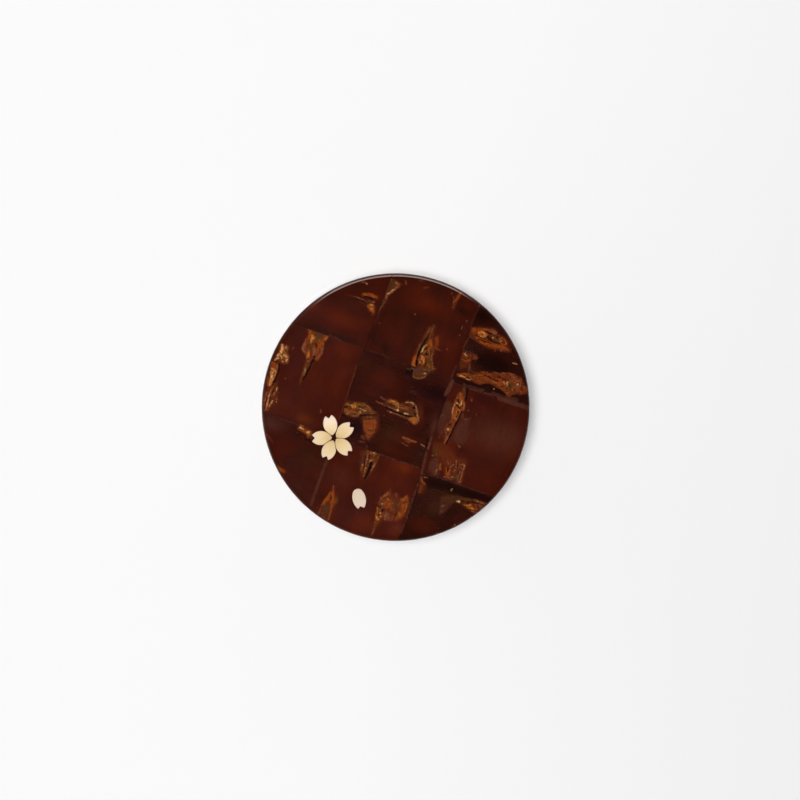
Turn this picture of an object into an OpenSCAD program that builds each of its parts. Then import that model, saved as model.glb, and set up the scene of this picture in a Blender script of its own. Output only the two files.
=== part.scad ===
// Round tea caddy veneered in patchwork cherry bark, with a deep slip-over lid,
// an inner sleeve and a lift-out inner lid.
// Origin: centre of the resting face. +Z up, millimetres.

/* [Overall] */
// Outside diameter of the caddy
outer_d = 80; // [70:1:92]
// Overall height with the lid closed
total_h = 88; // [80:1:124]
// Height of the line where lid and body part
part_z = 53; // [46:1:58]
// Radius of the rounded top and bottom shoulders
shoulder_r = 1.2; // [0.8:0.1:1.6]

/* [Bark and boards] */
// Thickness of the outer bark tiles
bark_t = 0.5; // [0.4:0.05:0.6]
// Thickness of the bark skins inside
lining_t = 0.3; // [0.2:0.05:0.35]
// Thickness of the top and base boards
board_t = 3; // [2.5:0.1:3.5]
// Width of the hairline joint between tiles
joint_w = 0.05; // [0.02:0.01:0.1]

/* [Sleeve and fits] */
// Radial clearance between lid lining and sleeve
lid_fit = 0.15; // [0.1:0.05:0.3]
// Height of the sleeve rim above the resting face
sleeve_top = 74; // [70:0.5:75]
// Wall of the sleeve core
sleeve_wall = 1.2; // [1:0.1:1.6]
// Gap between the closed lid and the body rim
part_gap = 0.1; // [0.05:0.05:0.2]

/* [Inner lid] */
// Thickness of the inner lid board
inner_board_t = 2; // [1.6:0.1:2.4]
// Depth of the plug ring below the inner lid board
plug_depth = 5; // [3:0.5:8]
// Radial clearance of the plug ring in the sleeve
plug_fit = 0.25; // [0.2:0.05:0.4]
// Diameter of the knob
knob_d = 13; // [10:0.5:16]
// Height of the knob above the inner lid
knob_h = 6.3; // [5:0.1:6.6]

/* [Tile pattern] */
// Turn of the hand-laid tile grid on the lid top, in degrees
grid_turn = -19.5; // [-45:0.5:45]
// Left seam of the grid, from its front end to its back end
seam_left = [-14.0, -14.4, -14.7, -14.0];
// Right seam of the grid, from its front end to its back end
seam_right = [14.0, 13.6, 13.25, 13.4];
// Front seam: left end, left seam, right seam on its two sides, right end
seam_front = [-14.8, -14.8, -14.8, -15.6, -15.5];
// Back seam: left end, left seam, right seam on its two sides, right end
seam_back = [13.2, 13.5, 12.9, 12.75, 12.5];
// Number of tiles round the wall
wall_tiles = 9; // [7:1:12]
// Number of tile courses up the wall
wall_courses = 3; // [3:1:3]

/* [Blossom inlay] */
// Centre of the five-petal blossom
blossom_at = [-18.4, -9.1];
// Direction of each hand-laid petal, in degrees
petal_turns = [101, 38, -47, -113, -178];
// Root of each petal, counted from the blossom centre
petal_roots = [[-0.48, 0.72], [0.64, 0.12], [0.64, -0.36], [-0.24, -0.83], [-0.6, 0]];
// Directions of the bark lines between a petal and the next
petal_lines = [69.5, -5, -80, -145.5, 141.5];
// Length of a petal from root to tip
petal_l = 5.95; // [4:0.05:7]
// Width of a petal
petal_w = 4.16; // [3:0.02:4.4]
// Depth of the notch in a petal tip
notch_d = 0.9; // [0.5:0.05:1.4]
// Width of bark left between two petals
petal_gap = 0.14; // [0.1:0.02:0.3]
// Centre of the loose petal
loose_at = [-10.9, -27.3];
// Direction of the loose petal's tip, in degrees
loose_turn = -77; // [-180:1:180]
// Width of the loose petal
loose_w = 3.95; // [3:0.05:4.4]

/* [Hidden] */
$fn = 96;

eps = 0.01;
R = outer_d / 2;
reach = R + 3;                                         // how far the seams are drawn
core_r = R - bark_t;                                   // outside of both cores
sleeve_r = R - bark_t - 2.0;                           // outside of the sleeve skin
lid_in_r = sleeve_r + lid_fit;                         // inside of the lid lining
lid_core_in = lid_in_r + lining_t;
sleeve_core_r = sleeve_r - lining_t;
sleeve_core_in = sleeve_core_r - sleeve_wall;
sleeve_in_r = sleeve_core_in - lining_t;               // bore of the sleeve
floor_z = bark_t + board_t;                            // top of the base board
board_z = total_h - bark_t - board_t;                  // underside of the top board
ceiling_z = board_z - lining_t;                        // inside top of the lid
lid_z = part_z + part_gap;                             // rim of the closed lid
inner_z = sleeve_top + 0.05;                           // underside of the inner lid board
inner_top = inner_z + inner_board_t;
plug_r = sleeve_in_r - plug_fit;
inner_r = sleeve_r - 0.2;                              // outside of the inner lid
peg_r = 2.5;
course_h = total_h / wall_courses;
course_z = [for (i = [0:wall_courses]) i * course_h];
tile_a = 360 / wall_tiles;
course_turn = [0, tile_a / 2, 0];                      // stagger of each course

bark = "#3d130c";
bark_dark = "#2b0d0a";
bark_in = "#5a2a18";
wood = "#b98a5a";
wood_pale = "#cda878";
inlay = "#efe0bd";

// ring between two radii and two heights
module ring(ro, ri, z0, z1) {
  rotate_extrude() translate([ri, z0]) square([ro - ri, z1 - z0]);
}

// outline of the whole caddy in section, with rounded shoulders
module section() {
  square([R - shoulder_r, total_h]);
  translate([0, shoulder_r]) square([R, total_h - 2 * shoulder_r]);
  for (z = [shoulder_r, total_h - shoulder_r])
    translate([R - shoulder_r, z]) circle(r = shoulder_r, $fn = 48);
}

// slice of the caddy's outer skin between two radii and two heights
module skin(ri, z0, z1) {
  rotate_extrude() intersection() {
    section();
    translate([ri, z0]) square([R, z1 - z0]);
  }
}

// ---- petals ----

// two arcs that meet at the origin and at x = chord
module lens(chord, wid, grow) {
  rad = (chord * chord / 4 + wid * wid / 4) / wid;
  intersection() {
    translate([chord / 2, rad - wid / 2]) circle(r = rad + grow, $fn = 120);
    translate([chord / 2, wid / 2 - rad]) circle(r = rad + grow, $fn = 120);
  }
}

// V that cuts the notch and squares off the two lobes
module tip_cut(len, grow) {
  polygon([[len - notch_d + grow, 0], [len + grow, 0.95], [len + grow, 4], [len + 2, 4],
           [len + 2, -4], [len + grow, -4], [len + grow, -0.95]]);
}

// petal i of the blossom, held between the bark lines on its two sides
module blossom_petal(i, grow) {
  n = len(petal_turns);
  g = petal_gap / 2 - grow;
  difference() {
    translate(petal_roots[i]) rotate([0, 0, petal_turns[i]]) difference() {
      lens(petal_l * 1.11, petal_w, grow);
      tip_cut(petal_l, grow);
    }
    rotate([0, 0, petal_lines[(i + n - 1) % n]]) translate([-9, -g]) square([18, 9]);
    rotate([0, 0, petal_lines[i]]) translate([-9, g - 9]) square([18, 9]);
  }
}

module all_petals(grow = 0, z0 = total_h - bark_t, z1 = total_h) {
  translate([blossom_at[0], blossom_at[1], z0]) linear_extrude(height = z1 - z0)
    for (i = [0:len(petal_turns) - 1]) blossom_petal(i, grow);
}

// the loose petal has a rounded root
module one_petal(grow = 0, z0 = total_h - bark_t, z1 = total_h) {
  r = 1.8;
  translate([loose_at[0], loose_at[1], z0]) rotate([0, 0, loose_turn])
    translate([-petal_l / 2, 0, 0]) linear_extrude(height = z1 - z0) difference() {
      intersection() {
        translate([-0.7, 0]) lens(petal_l + 1.5, loose_w, grow);
        union() {
          translate([r, 0]) circle(r = r + grow, $fn = 64);
          translate([r, -4]) square([8, 8]);
        }
      }
      tip_cut(petal_l, grow);
    }
}

// ---- lid ----

// how far seam k lies to the right at a height v of the grid
function seam_u(k, v) =
  k == 0 ? -reach : k == 3 ? reach :
  let (s = k == 1 ? seam_left : seam_right)
  lookup(v, [[-reach, s[0]], [seam_front[1], s[1]], [seam_back[1], s[2]], [reach, s[3]]]);

// how high row line j lies at the left (0) or right (1) end of column i
function seam_v(j, i, end) =
  j == 0 ? -reach : j == 3 ? reach :
  (j == 1 ? seam_front : seam_back)[i == 2 ? 3 + end : i + end];

// one tile of the 3 by 3 grid on the lid top: i across, j from front to back
module top_tile(i, j) {
  g = joint_w / 2;
  c = [for (e = [[0, 0], [1, 0], [1, 1], [0, 1]])
    let (v = seam_v(j + e[1], i, e[0]))
    [seam_u(i + e[0], v) + (e[0] == 0 ? g : -g), v + (e[1] == 0 ? g : -g)]];
  color(bark) difference() {
    intersection() {
      skin(0, total_h - bark_t, total_h);
      rotate([0, 0, grid_turn]) translate([0, 0, total_h - bark_t - 1])
        linear_extrude(height = bark_t + 2) polygon(c);
    }
    if (i < 2 && j < 2) all_petals(0.02, total_h - bark_t - 1, total_h + 1);
    if (i == 1 && j == 0) one_petal(0.02, total_h - bark_t - 1, total_h + 1);
  }
}

module lid_core() {
  color(wood) ring(core_r, lid_core_in, lid_z, total_h - bark_t);
}

module lid_top_board() {
  color(wood) translate([0, 0, board_z]) cylinder(r = lid_core_in, h = board_t);
}

module lid_lining() {
  color(bark_in) ring(lid_core_in, lid_in_r, lid_z, ceiling_z);
}

module lid_ceiling_bark() {
  color(bark_in) translate([0, 0, ceiling_z]) cylinder(r = lid_core_in, h = lining_t);
}

module blossom_petals() { color(inlay) all_petals(); }

module loose_petal() { color(inlay) one_petal(); }

// one course of wall tiles, cut into separate pieces by hairline joints
module wall_course(z0, z1, turn) {
  g = joint_w;
  color(bark) difference() {
    skin(core_r, z0, z1);
    for (k = [0:wall_tiles - 1]) rotate([0, 0, k * tile_a + turn])
      translate([core_r - 1, -g / 2, z0 - 1]) cube([4, g, z1 - z0 + 2]);
  }
}

module lid_wall_bark_upper() {
  wall_course(course_z[2] + joint_w / 2, total_h - bark_t, course_turn[2]);
}

module lid_wall_bark_lower() {
  wall_course(lid_z, course_z[2] - joint_w / 2, course_turn[1]);
}

// ---- body ----

module body_core() {
  color(wood) ring(core_r, sleeve_r, bark_t, part_z);
}

module base_board() {
  color(wood) translate([0, 0, bark_t]) cylinder(r = sleeve_r, h = board_t);
}

module base_bark() {
  color(bark_dark) skin(0, 0, bark_t);
}

module floor_bark() {
  color(bark_in) translate([0, 0, floor_z]) cylinder(r = sleeve_in_r, h = lining_t);
}

module sleeve_core() {
  color(wood) ring(sleeve_core_r, sleeve_core_in, floor_z, sleeve_top - lining_t);
}

module sleeve_outer_bark() {
  color(bark_in) ring(sleeve_r, sleeve_core_r, floor_z, sleeve_top - lining_t);
}

module sleeve_lining() {
  color(bark_in) ring(sleeve_core_in, sleeve_in_r, floor_z, sleeve_top - lining_t);
}

module sleeve_rim_bark() {
  color(bark) ring(sleeve_r, sleeve_in_r, sleeve_top - lining_t, sleeve_top);
}

module body_wall_bark_upper() {
  wall_course(course_z[1] + joint_w / 2, part_z, course_turn[1]);
}

module body_wall_bark_lower() {
  wall_course(bark_t, course_z[1] - joint_w / 2, course_turn[0]);
}

// ---- inner lid ----

module inner_lid_board() {
  color(wood_pale) difference() {
    translate([0, 0, inner_z]) cylinder(r = inner_r - lining_t, h = inner_board_t);
    translate([0, 0, inner_z - 1]) cylinder(r = peg_r, h = inner_board_t + 2);
  }
}

module inner_lid_plug_ring() {
  color(wood_pale) ring(plug_r, plug_r - 1.5, inner_z - plug_depth, inner_z);
}

module inner_lid_top_bark() {
  color(bark) difference() {
    translate([0, 0, inner_top]) cylinder(r = inner_r - lining_t, h = lining_t);
    translate([0, 0, inner_top - 1]) cylinder(r = peg_r, h = lining_t + 2);
  }
}

module inner_lid_under_bark() {
  color(bark_in) translate([0, 0, inner_z - lining_t]) cylinder(r = plug_r - 1.5, h = lining_t);
}

module inner_lid_edge_bark() {
  color(bark) ring(inner_r, inner_r - lining_t, inner_z, inner_top + lining_t);
}

// turned knob: a peg glued through the board, a waisted neck and a round head
module knob() {
  z = inner_top + lining_t;
  kr = knob_d / 2;
  head = 1.3;                                          // half thickness of the head's edge
  color(wood) {
    translate([0, 0, inner_z]) cylinder(r = peg_r, h = inner_board_t + lining_t + eps);
    translate([0, 0, z]) rotate_extrude() difference() {
      union() {
        square([kr - head, knob_h - lining_t]);
        translate([kr - head, knob_h - lining_t - head]) circle(r = head, $fn = 48);
      }
      translate([kr + 0.35, (knob_h - lining_t) / 2 - 0.75]) circle(r = 2.6, $fn = 64);
      translate([kr - head + 0.2, -1]) square([5, 2.6]);
    }
  }
}

module knob_cap_bark() {
  z = inner_top + knob_h;
  color(bark) translate([0, 0, z]) cylinder(r = knob_d / 2 - 1.7, h = lining_t);
}

lid_core();
lid_top_board();
lid_lining();
lid_ceiling_bark();
top_tile(0, 2);  // top_bark_north_west
top_tile(1, 2);  // top_bark_north
top_tile(2, 2);  // top_bark_north_east
top_tile(0, 1);  // top_bark_west
top_tile(1, 1);  // top_bark_centre
top_tile(2, 1);  // top_bark_east
top_tile(0, 0);  // top_bark_south_west
top_tile(1, 0);  // top_bark_south
top_tile(2, 0);  // top_bark_south_east
blossom_petals();
loose_petal();
lid_wall_bark_upper();
lid_wall_bark_lower();
body_core();
base_board();
base_bark();
floor_bark();
sleeve_core();
sleeve_outer_bark();
sleeve_lining();
sleeve_rim_bark();
body_wall_bark_upper();
body_wall_bark_lower();
inner_lid_board();
inner_lid_plug_ring();
inner_lid_top_bark();
inner_lid_under_bark();
inner_lid_edge_bark();
knob();
knob_cap_bark();
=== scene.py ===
import math

import bpy
import numpy as np
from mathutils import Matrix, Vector
from mathutils.geometry import delaunay_2d_cdt

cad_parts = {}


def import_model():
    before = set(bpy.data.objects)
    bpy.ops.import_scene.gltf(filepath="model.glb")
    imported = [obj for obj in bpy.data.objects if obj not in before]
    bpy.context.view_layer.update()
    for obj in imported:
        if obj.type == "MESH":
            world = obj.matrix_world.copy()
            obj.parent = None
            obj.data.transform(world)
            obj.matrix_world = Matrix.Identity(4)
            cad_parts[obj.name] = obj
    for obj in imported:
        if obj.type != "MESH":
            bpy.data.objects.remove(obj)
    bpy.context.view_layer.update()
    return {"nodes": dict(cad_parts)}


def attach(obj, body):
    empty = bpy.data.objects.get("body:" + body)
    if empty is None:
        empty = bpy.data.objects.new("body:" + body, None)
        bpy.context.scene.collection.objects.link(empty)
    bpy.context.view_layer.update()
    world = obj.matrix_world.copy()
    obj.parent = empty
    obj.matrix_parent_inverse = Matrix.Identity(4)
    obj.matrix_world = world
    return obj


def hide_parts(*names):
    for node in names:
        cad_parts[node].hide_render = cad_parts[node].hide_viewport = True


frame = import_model()

# Everything below is worked out in millimetres and scaled once, when a mesh is made.
MM = 0.001
H = 88.0            # height of the closed caddy
R = 40.0            # outside radius
SR = 1.2            # radius of the rounded shoulders
BARK = 0.5          # outer bark
SKIN = 0.3          # inner bark skins
PART = 53.0         # line where lid and body part
LID_Z = 53.1
COURSE = H / 3
JOINT = 0.05        # joint between tiles
TURN = math.radians(-19.5)
SLEEVE_TOP = 74.0
INNER_Z = SLEEVE_TOP + 0.05
INNER_TOP = INNER_Z + 2.0


# ---------------------------------------------------------------- numbers

def smooth(a, b, x):
    t = np.clip((x - a) / (b - a), 0, 1)
    return t * t * (3 - 2 * t)


def _corner(ix, iy, seed, dx, dy):
    h = (ix.astype(np.int64) * 374761393 + iy.astype(np.int64) * 668265263 + seed * 974634777) & 0xFFFFFFFF
    h = ((h ^ (h >> 13)) * 1274126177) & 0xFFFFFFFF
    h = (h ^ (h >> 16)) & 0xFFFF
    a = h * (2 * math.pi / 65536)
    return np.cos(a) * dx + np.sin(a) * dy


def noise(x, y, seed=0):
    """Gradient noise, about -1 to 1."""
    xi, yi = np.floor(x), np.floor(y)
    xf, yf = x - xi, y - yi
    u = xf ** 3 * (xf * (xf * 6 - 15) + 10)
    v = yf ** 3 * (yf * (yf * 6 - 15) + 10)
    n00 = _corner(xi, yi, seed, xf, yf)
    n10 = _corner(xi + 1, yi, seed, xf - 1, yf)
    n01 = _corner(xi, yi + 1, seed, xf, yf - 1)
    n11 = _corner(xi + 1, yi + 1, seed, xf - 1, yf - 1)
    return 1.5 * ((n00 * (1 - u) + n10 * u) * (1 - v) + (n01 * (1 - u) + n11 * u) * v)


def fbm(x, y, seed=0, octaves=3):
    total, amp, span = 0.0, 1.0, 0.0
    for k in range(octaves):
        total = total + amp * noise(x * 2 ** k, y * 2 ** k, seed + 17 * k)
        span += amp
        amp *= 0.5
    return total / span


def segments_distance(px, py, pts, closed):
    """Distance from points to a polyline, and where along it the nearest point is (0 to 1)."""
    pts = np.asarray(pts, float)
    a = pts
    b = np.roll(pts, -1, 0)
    if not closed:
        a, b = pts[:-1], pts[1:]
    best = np.full(px.shape, 1e9)
    where = np.zeros(px.shape)
    n = len(a)
    for k in range(n):
        ex, ey = b[k] - a[k]
        l2 = max(ex * ex + ey * ey, 1e-12)
        t = np.clip(((px - a[k, 0]) * ex + (py - a[k, 1]) * ey) / l2, 0, 1)
        d = np.hypot(px - a[k, 0] - t * ex, py - a[k, 1] - t * ey)
        near = d < best
        best = np.where(near, d, best)
        where = np.where(near, (k + t) / n, where)
    return best, where


def inside(px, py, pts):
    pts = np.asarray(pts, float)
    r = np.zeros(px.shape, bool)
    lo, hi = pts.min(0), pts.max(0)
    idx = np.nonzero((px >= lo[0]) & (px <= hi[0]) & (py >= lo[1]) & (py <= hi[1]))[0]
    x, y = px[idx], py[idx]
    m = np.zeros(x.shape, bool)
    for (x0, y0), (x1, y1) in zip(pts, np.roll(pts, -1, 0)):
        if y0 == y1:
            continue
        cross = (y0 > y) != (y1 > y)
        m ^= cross & (x < (x1 - x0) * (y - y0) / (y1 - y0) + x0)
    r[idx] = m
    return r


def curve(pts, closed=True, per=6):
    """Catmull-Rom through given points."""
    p = np.asarray(pts, float)
    n = len(p)
    out = []
    for k in range(n if closed else n - 1):
        if closed:
            p0, p1, p2, p3 = p[(k - 1) % n], p[k], p[(k + 1) % n], p[(k + 2) % n]
        else:
            p0, p1, p2, p3 = p[max(k - 1, 0)], p[k], p[k + 1], p[min(k + 2, n - 1)]
        for j in range(per):
            t = j / per
            out.append(0.5 * (2 * p1 + (p2 - p0) * t + (2 * p0 - 5 * p1 + 4 * p2 - p3) * t * t
                              + (3 * p1 - p0 - 3 * p2 + p3) * t ** 3))
    if not closed:
        out.append(p[-1])
    return np.array(out)


# ---------------------------------------------------------------- the bark's pattern

# pale is the scars' pale cream colour together with painted highlights and glints on them
LAYERS = ("brown", "orange", "gold", "tan", "pale", "olive", "dark", "haze")


class Bark:
    """The pattern of a stretch of bark, held at points (x, y) in mm: how much each kind of layer
    shows, the tone of the plain bark, and the relief left by polishing."""

    def __init__(self, x, y, seed=1, ragged=1.0):
        self.x, self.y = np.asarray(x, float), np.asarray(y, float)
        n = len(self.x)
        self.layer = {k: np.zeros(n) for k in LAYERS}
        self.tone = np.zeros(n)
        self.hue = np.zeros(n)
        self.relief = np.zeros(n)
        w1 = 0.16 * ragged
        w2 = 0.07 * ragged
        self.wx = self.x + w1 * noise(self.x / 0.9, self.y / 0.9, seed) + w2 * noise(self.x / 0.35, self.y / 0.35, seed + 1)
        self.wy = self.y + w1 * noise(self.x / 0.9, self.y / 0.9, seed + 2) + w2 * noise(self.x / 0.35, self.y / 0.35, seed + 3)
        self.seed = seed

    def near(self, pts, margin):
        p = np.asarray(pts, float)
        lo, hi = p.min(0) - margin, p.max(0) + margin
        return np.nonzero((self.wx > lo[0]) & (self.wx < hi[0]) & (self.wy > lo[1]) & (self.wy < hi[1]))[0]

    def over(self, name, idx, m, keep=0.0):
        if name == "tone" or name == "hue":
            getattr(self, name)[idx] += m
            return
        for k in LAYERS:
            self.layer[k][idx] *= 1 - m * (1 - keep)
        self.layer[name][idx] += m

    def depth(self, pts, margin=0.6):
        """Signed distance inside a closed outline, for the points near it."""
        idx = self.near(pts, margin)
        px, py = self.wx[idx], self.wy[idx]
        d, _ = segments_distance(px, py, pts, True)
        return idx, np.where(inside(px, py, pts), d, -d)

    def fill(self, name, pts, amt=1.0, soft=0.15, grow=0.0, round_=True):
        p = curve(pts) if round_ else np.asarray(pts, float)
        idx, d = self.depth(p, soft + grow + 0.3)
        self.over(name, idx, amt * smooth(-soft, soft, d + grow))

    def mottle(self, name, pts, ang, amt=1.0, long=2.2, wide=0.45, thr=0.1, soft=0.25, edge=0.15, seed=0, inset=0.0):
        """Fill only where stretched noise is high: fibres and ridges that run along ang (degrees)."""
        idx, d = self.depth(curve(pts), 0.5)
        a = math.radians(ang)
        u = self.wx[idx] * math.cos(a) + self.wy[idx] * math.sin(a)
        v = -self.wx[idx] * math.sin(a) + self.wy[idx] * math.cos(a)
        n = fbm(u / long, v / wide, self.seed + 50 + seed, 2)
        self.over(name, idx, amt * smooth(thr, thr + soft, n) * smooth(-edge, edge, d - inset))

    def contour(self, name, pts, at=(0.3,), w=0.1, amt=0.8, soft=0.08, gap=0.35, seed=0):
        """Ring lines inside an outline, broken here and there."""
        idx, d = self.depth(curve(pts), 0.4)
        n = noise(self.x[idx] / 0.8, self.y[idx] / 0.8, self.seed + 90 + seed)
        for q in at:
            m = smooth(w + soft, w, np.abs(d - q)) * smooth(-gap - 0.2, -gap + 0.2, n)
            self.over(name, idx, amt * m)

    def line(self, name, pts, w=0.2, amt=1.0, soft=0.1, rough=0.0, keep=0.0, bend=True):
        p = curve(pts, closed=False) if bend and len(pts) > 2 else np.asarray(pts, float)
        w = np.atleast_1d(np.asarray(w, float))
        idx = self.near(p, w.max() + soft + 0.3)
        d, t = segments_distance(self.wx[idx], self.wy[idx], p, False)
        half = np.interp(t, np.linspace(0, 1, len(w)), w) / 2
        m = smooth(half + soft, np.maximum(half - soft, 0) * 0.999, d)
        if rough:
            m = m * smooth(-0.4 - rough, 0.5 - rough, -noise(self.x[idx] / 0.6, self.y[idx] / 0.6, self.seed + 7) + 0.2)
        self.over(name, idx, amt * np.clip(m, 0, 1), keep)

    def ring(self, name, c, rx, ry, ang=0, w=0.18, amt=1.0, soft=0.08):
        a = math.radians(ang)
        t = np.linspace(0, 2 * math.pi, 25)[:-1]
        p = np.stack([c[0] + rx * np.cos(t) * math.cos(a) - ry * np.sin(t) * math.sin(a),
                      c[1] + rx * np.cos(t) * math.sin(a) + ry * np.sin(t) * math.cos(a)], 1)
        idx = self.near(p, w + soft + 0.3)
        d, _ = segments_distance(self.wx[idx], self.wy[idx], p, True)
        self.over(name, idx, amt * smooth(w / 2 + soft, w / 2 - soft, d))

    def dot(self, name, c, r=0.2, amt=1.0, stretch=1.0, ang=0):
        a = math.radians(ang)
        dx, dy = self.x - c[0], self.y - c[1]
        u = (dx * math.cos(a) + dy * math.sin(a)) / stretch
        v = -dx * math.sin(a) + dy * math.cos(a)
        d = np.hypot(u, v)
        idx = np.nonzero(d < r * 2.2)[0]
        self.over(name, idx, amt * smooth(r * 1.25, r * 0.55, d[idx]))

    def cloud(self, field, c, rx, ry, ang, amt):
        """A wide soft change of tone or hue, or of a layer."""
        a = math.radians(ang)
        dx, dy = self.wx - c[0], self.wy - c[1]
        u = (dx * math.cos(a) + dy * math.sin(a)) / rx
        v = (-dx * math.sin(a) + dy * math.cos(a)) / ry
        m = amt * np.exp(-(u * u + v * v) * 1.4)
        if field in ("tone", "hue"):
            getattr(self, field)[:] += m
        else:
            self.over(field, slice(None), m)

    def plain(self, ang, tone, hue, seed):
        """The plain bark between the scars: fine streaks along the breathing pores."""
        a = math.radians(ang)
        u = self.x * math.cos(a) + self.y * math.sin(a)
        v = -self.x * math.sin(a) + self.y * math.cos(a)
        self.tone += tone + 0.22 * fbm(u / 7, v / 4, seed + 5, 3) + 0.12 * fbm(u / 6, v / 0.8, seed + 6, 2)
        self.hue += hue + 0.40 * fbm(u / 6, v / 4, seed + 8, 3)
        # a few short fine pores
        p = smooth(0.52, 0.8, fbm(u / 1.6, v / 0.16, seed + 9, 2))
        self.over("brown", slice(None), 0.25 * p)
        return u, v

    def finish(self):
        """Relief: bright ridges stand a little proud, dark cracks sit low."""
        l = self.layer
        self.relief += (0.010 * l["gold"] + 0.012 * l["pale"] + 0.006 * l["tan"] + 0.003 * l["orange"]
                        - 0.006 * l["olive"] - 0.020 * l["dark"])


# ---------------------------------------------------------------- mesh helpers

def cdt(points, loops):
    """Constrained Delaunay triangles of free points and closed loops, over their convex hull."""
    verts = [Vector((float(x), float(y))) for x, y in points]
    edges = []
    for loop in loops:
        base = len(verts)
        verts += [Vector((float(x), float(y))) for x, y in loop]
        n = len(loop)
        edges += [(base + k, base + (k + 1) % n) for k in range(n)]
    out = delaunay_2d_cdt(verts, edges, [], 0, 1e-6)
    return np.array([v[:] for v in out[0]]), [tuple(f) for f in out[2]], out[3]


def plate(points, loops, keep, top, bottom):
    """A closed plate: its top follows top(x, y) and its underside bottom(x, y).
    keep(x, y) says which triangles belong. Returns vertices, faces and the number of top vertices."""
    v, f, _ = cdt(points, loops)
    f = [t for t in f if len(t) == 3]
    fa = np.array(f)
    c = v[fa].mean(1)
    a, b, d = v[fa[:, 0]], v[fa[:, 1]], v[fa[:, 2]]
    area = (b[:, 0] - a[:, 0]) * (d[:, 1] - a[:, 1]) - (b[:, 1] - a[:, 1]) * (d[:, 0] - a[:, 0])
    ok = keep(c[:, 0], c[:, 1]) & (np.abs(area) > 1e-9)
    fa = fa[ok]
    flip = area[ok] < 0
    fa[flip] = fa[flip][:, ::-1]
    used = np.unique(fa)
    back = -np.ones(len(v), int)
    back[used] = np.arange(len(used))
    v, fa = v[used], back[fa]
    e = np.concatenate([fa[:, [0, 1]], fa[:, [1, 2]], fa[:, [2, 0]]])
    n = len(v)
    key = e[:, 0] * n + e[:, 1]
    rev = e[:, 1] * n + e[:, 0]
    rim = e[~np.isin(key, rev)]
    ring = np.unique(rim)
    low = -np.ones(n, int)
    low[ring] = n + np.arange(len(ring))
    lv = [Vector((float(x), float(y))) for x, y in v[ring]]
    pos = {int(k): i for i, k in enumerate(ring)}
    le = [(pos[int(p)], pos[int(q)]) for p, q in rim]
    out = delaunay_2d_cdt(lv, le, [], 0, 1e-9)
    orig = [o[0] if o else None for o in out[3]]
    faces = [tuple(int(i) for i in t) for t in fa]
    pv = np.array([p[:] for p in out[0]])
    mid = np.array([pv[list(t)].mean(0) for t in out[2]])
    held = keep(mid[:, 0], mid[:, 1])
    for t, ok in zip(out[2], held):
        if ok and all(orig[i] is not None for i in t):
            p0, p1, p2 = pv[list(t[:3])]
            s = (p1[0] - p0[0]) * (p2[1] - p0[1]) - (p1[1] - p0[1]) * (p2[0] - p0[0])
            t = t if s < 0 else t[::-1]
            faces.append(tuple(n + orig[i] for i in t))
    for p, q in rim:
        faces.append((int(q), int(p), int(low[p]), int(low[q])))
    z = top(v[:, 0], v[:, 1])
    zl = bottom(v[ring, 0], v[ring, 1])
    verts = np.concatenate([np.c_[v, z], np.c_[v[ring], zl]])
    return verts, faces, n


def make(name, verts, faces, material, body, replaces=(), attrs=None, vectors=None, smooth_angle=40, smooth_all=False):
    """One Blender object from millimetre vertices, with its pattern attributes."""
    me = bpy.data.meshes.new(name)
    me.from_pydata([tuple(p) for p in (np.asarray(verts, float) * MM)], [], faces)
    me.validate()
    me.update()
    for key, val in (attrs or {}).items():
        a = me.attributes.new(key, "FLOAT", "POINT")
        a.data.foreach_set("value", np.asarray(val, np.float32))
    for key, val in (vectors or {}).items():
        a = me.attributes.new(key, "FLOAT_VECTOR", "POINT")
        a.data.foreach_set("vector", np.asarray(val, np.float32).ravel())
    me.materials.append(material)
    me.shade_smooth()
    if not smooth_all:
        me.set_sharp_from_angle(angle=math.radians(smooth_angle))
    ob = bpy.data.objects.new(name, me)
    bpy.context.scene.collection.objects.link(ob)
    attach(ob, body)
    for node in replaces:
        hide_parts(node)
    return ob


def lathe(profile, n=192):
    """Revolve a closed (r, z) profile. Points on the axis close to a single vertex."""
    prof = [tuple(map(float, p)) for p in profile]
    verts, rows = [], []
    for r, z in prof:
        if r < 1e-9:
            rows.append([len(verts)] * n)
            verts.append((0, 0, z))
        else:
            rows.append(list(range(len(verts), len(verts) + n)))
            verts += [(r * math.cos(2 * math.pi * k / n), r * math.sin(2 * math.pi * k / n), z) for k in range(n)]
    faces = []
    m = len(rows)
    for i in range(m):
        a, b = rows[i], rows[(i + 1) % m]
        if len(set(a)) == 1 and len(set(b)) == 1:
            continue
        for k in range(n):
            k2 = (k + 1) % n
            quad = [a[k], a[k2], b[k2], b[k]]
            face = []
            for q in quad:
                if q not in face:
                    face.append(q)
            if len(face) > 2:
                faces.append(tuple(face))
    # make it face outwards: the profile's turning sense says which way its faces look
    area = sum(prof[i][0] * prof[(i + 1) % m][1] - prof[(i + 1) % m][0] * prof[i][1] for i in range(m))
    if area < 0:
        faces = [f[::-1] for f in faces]
    return np.array(verts), faces


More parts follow.
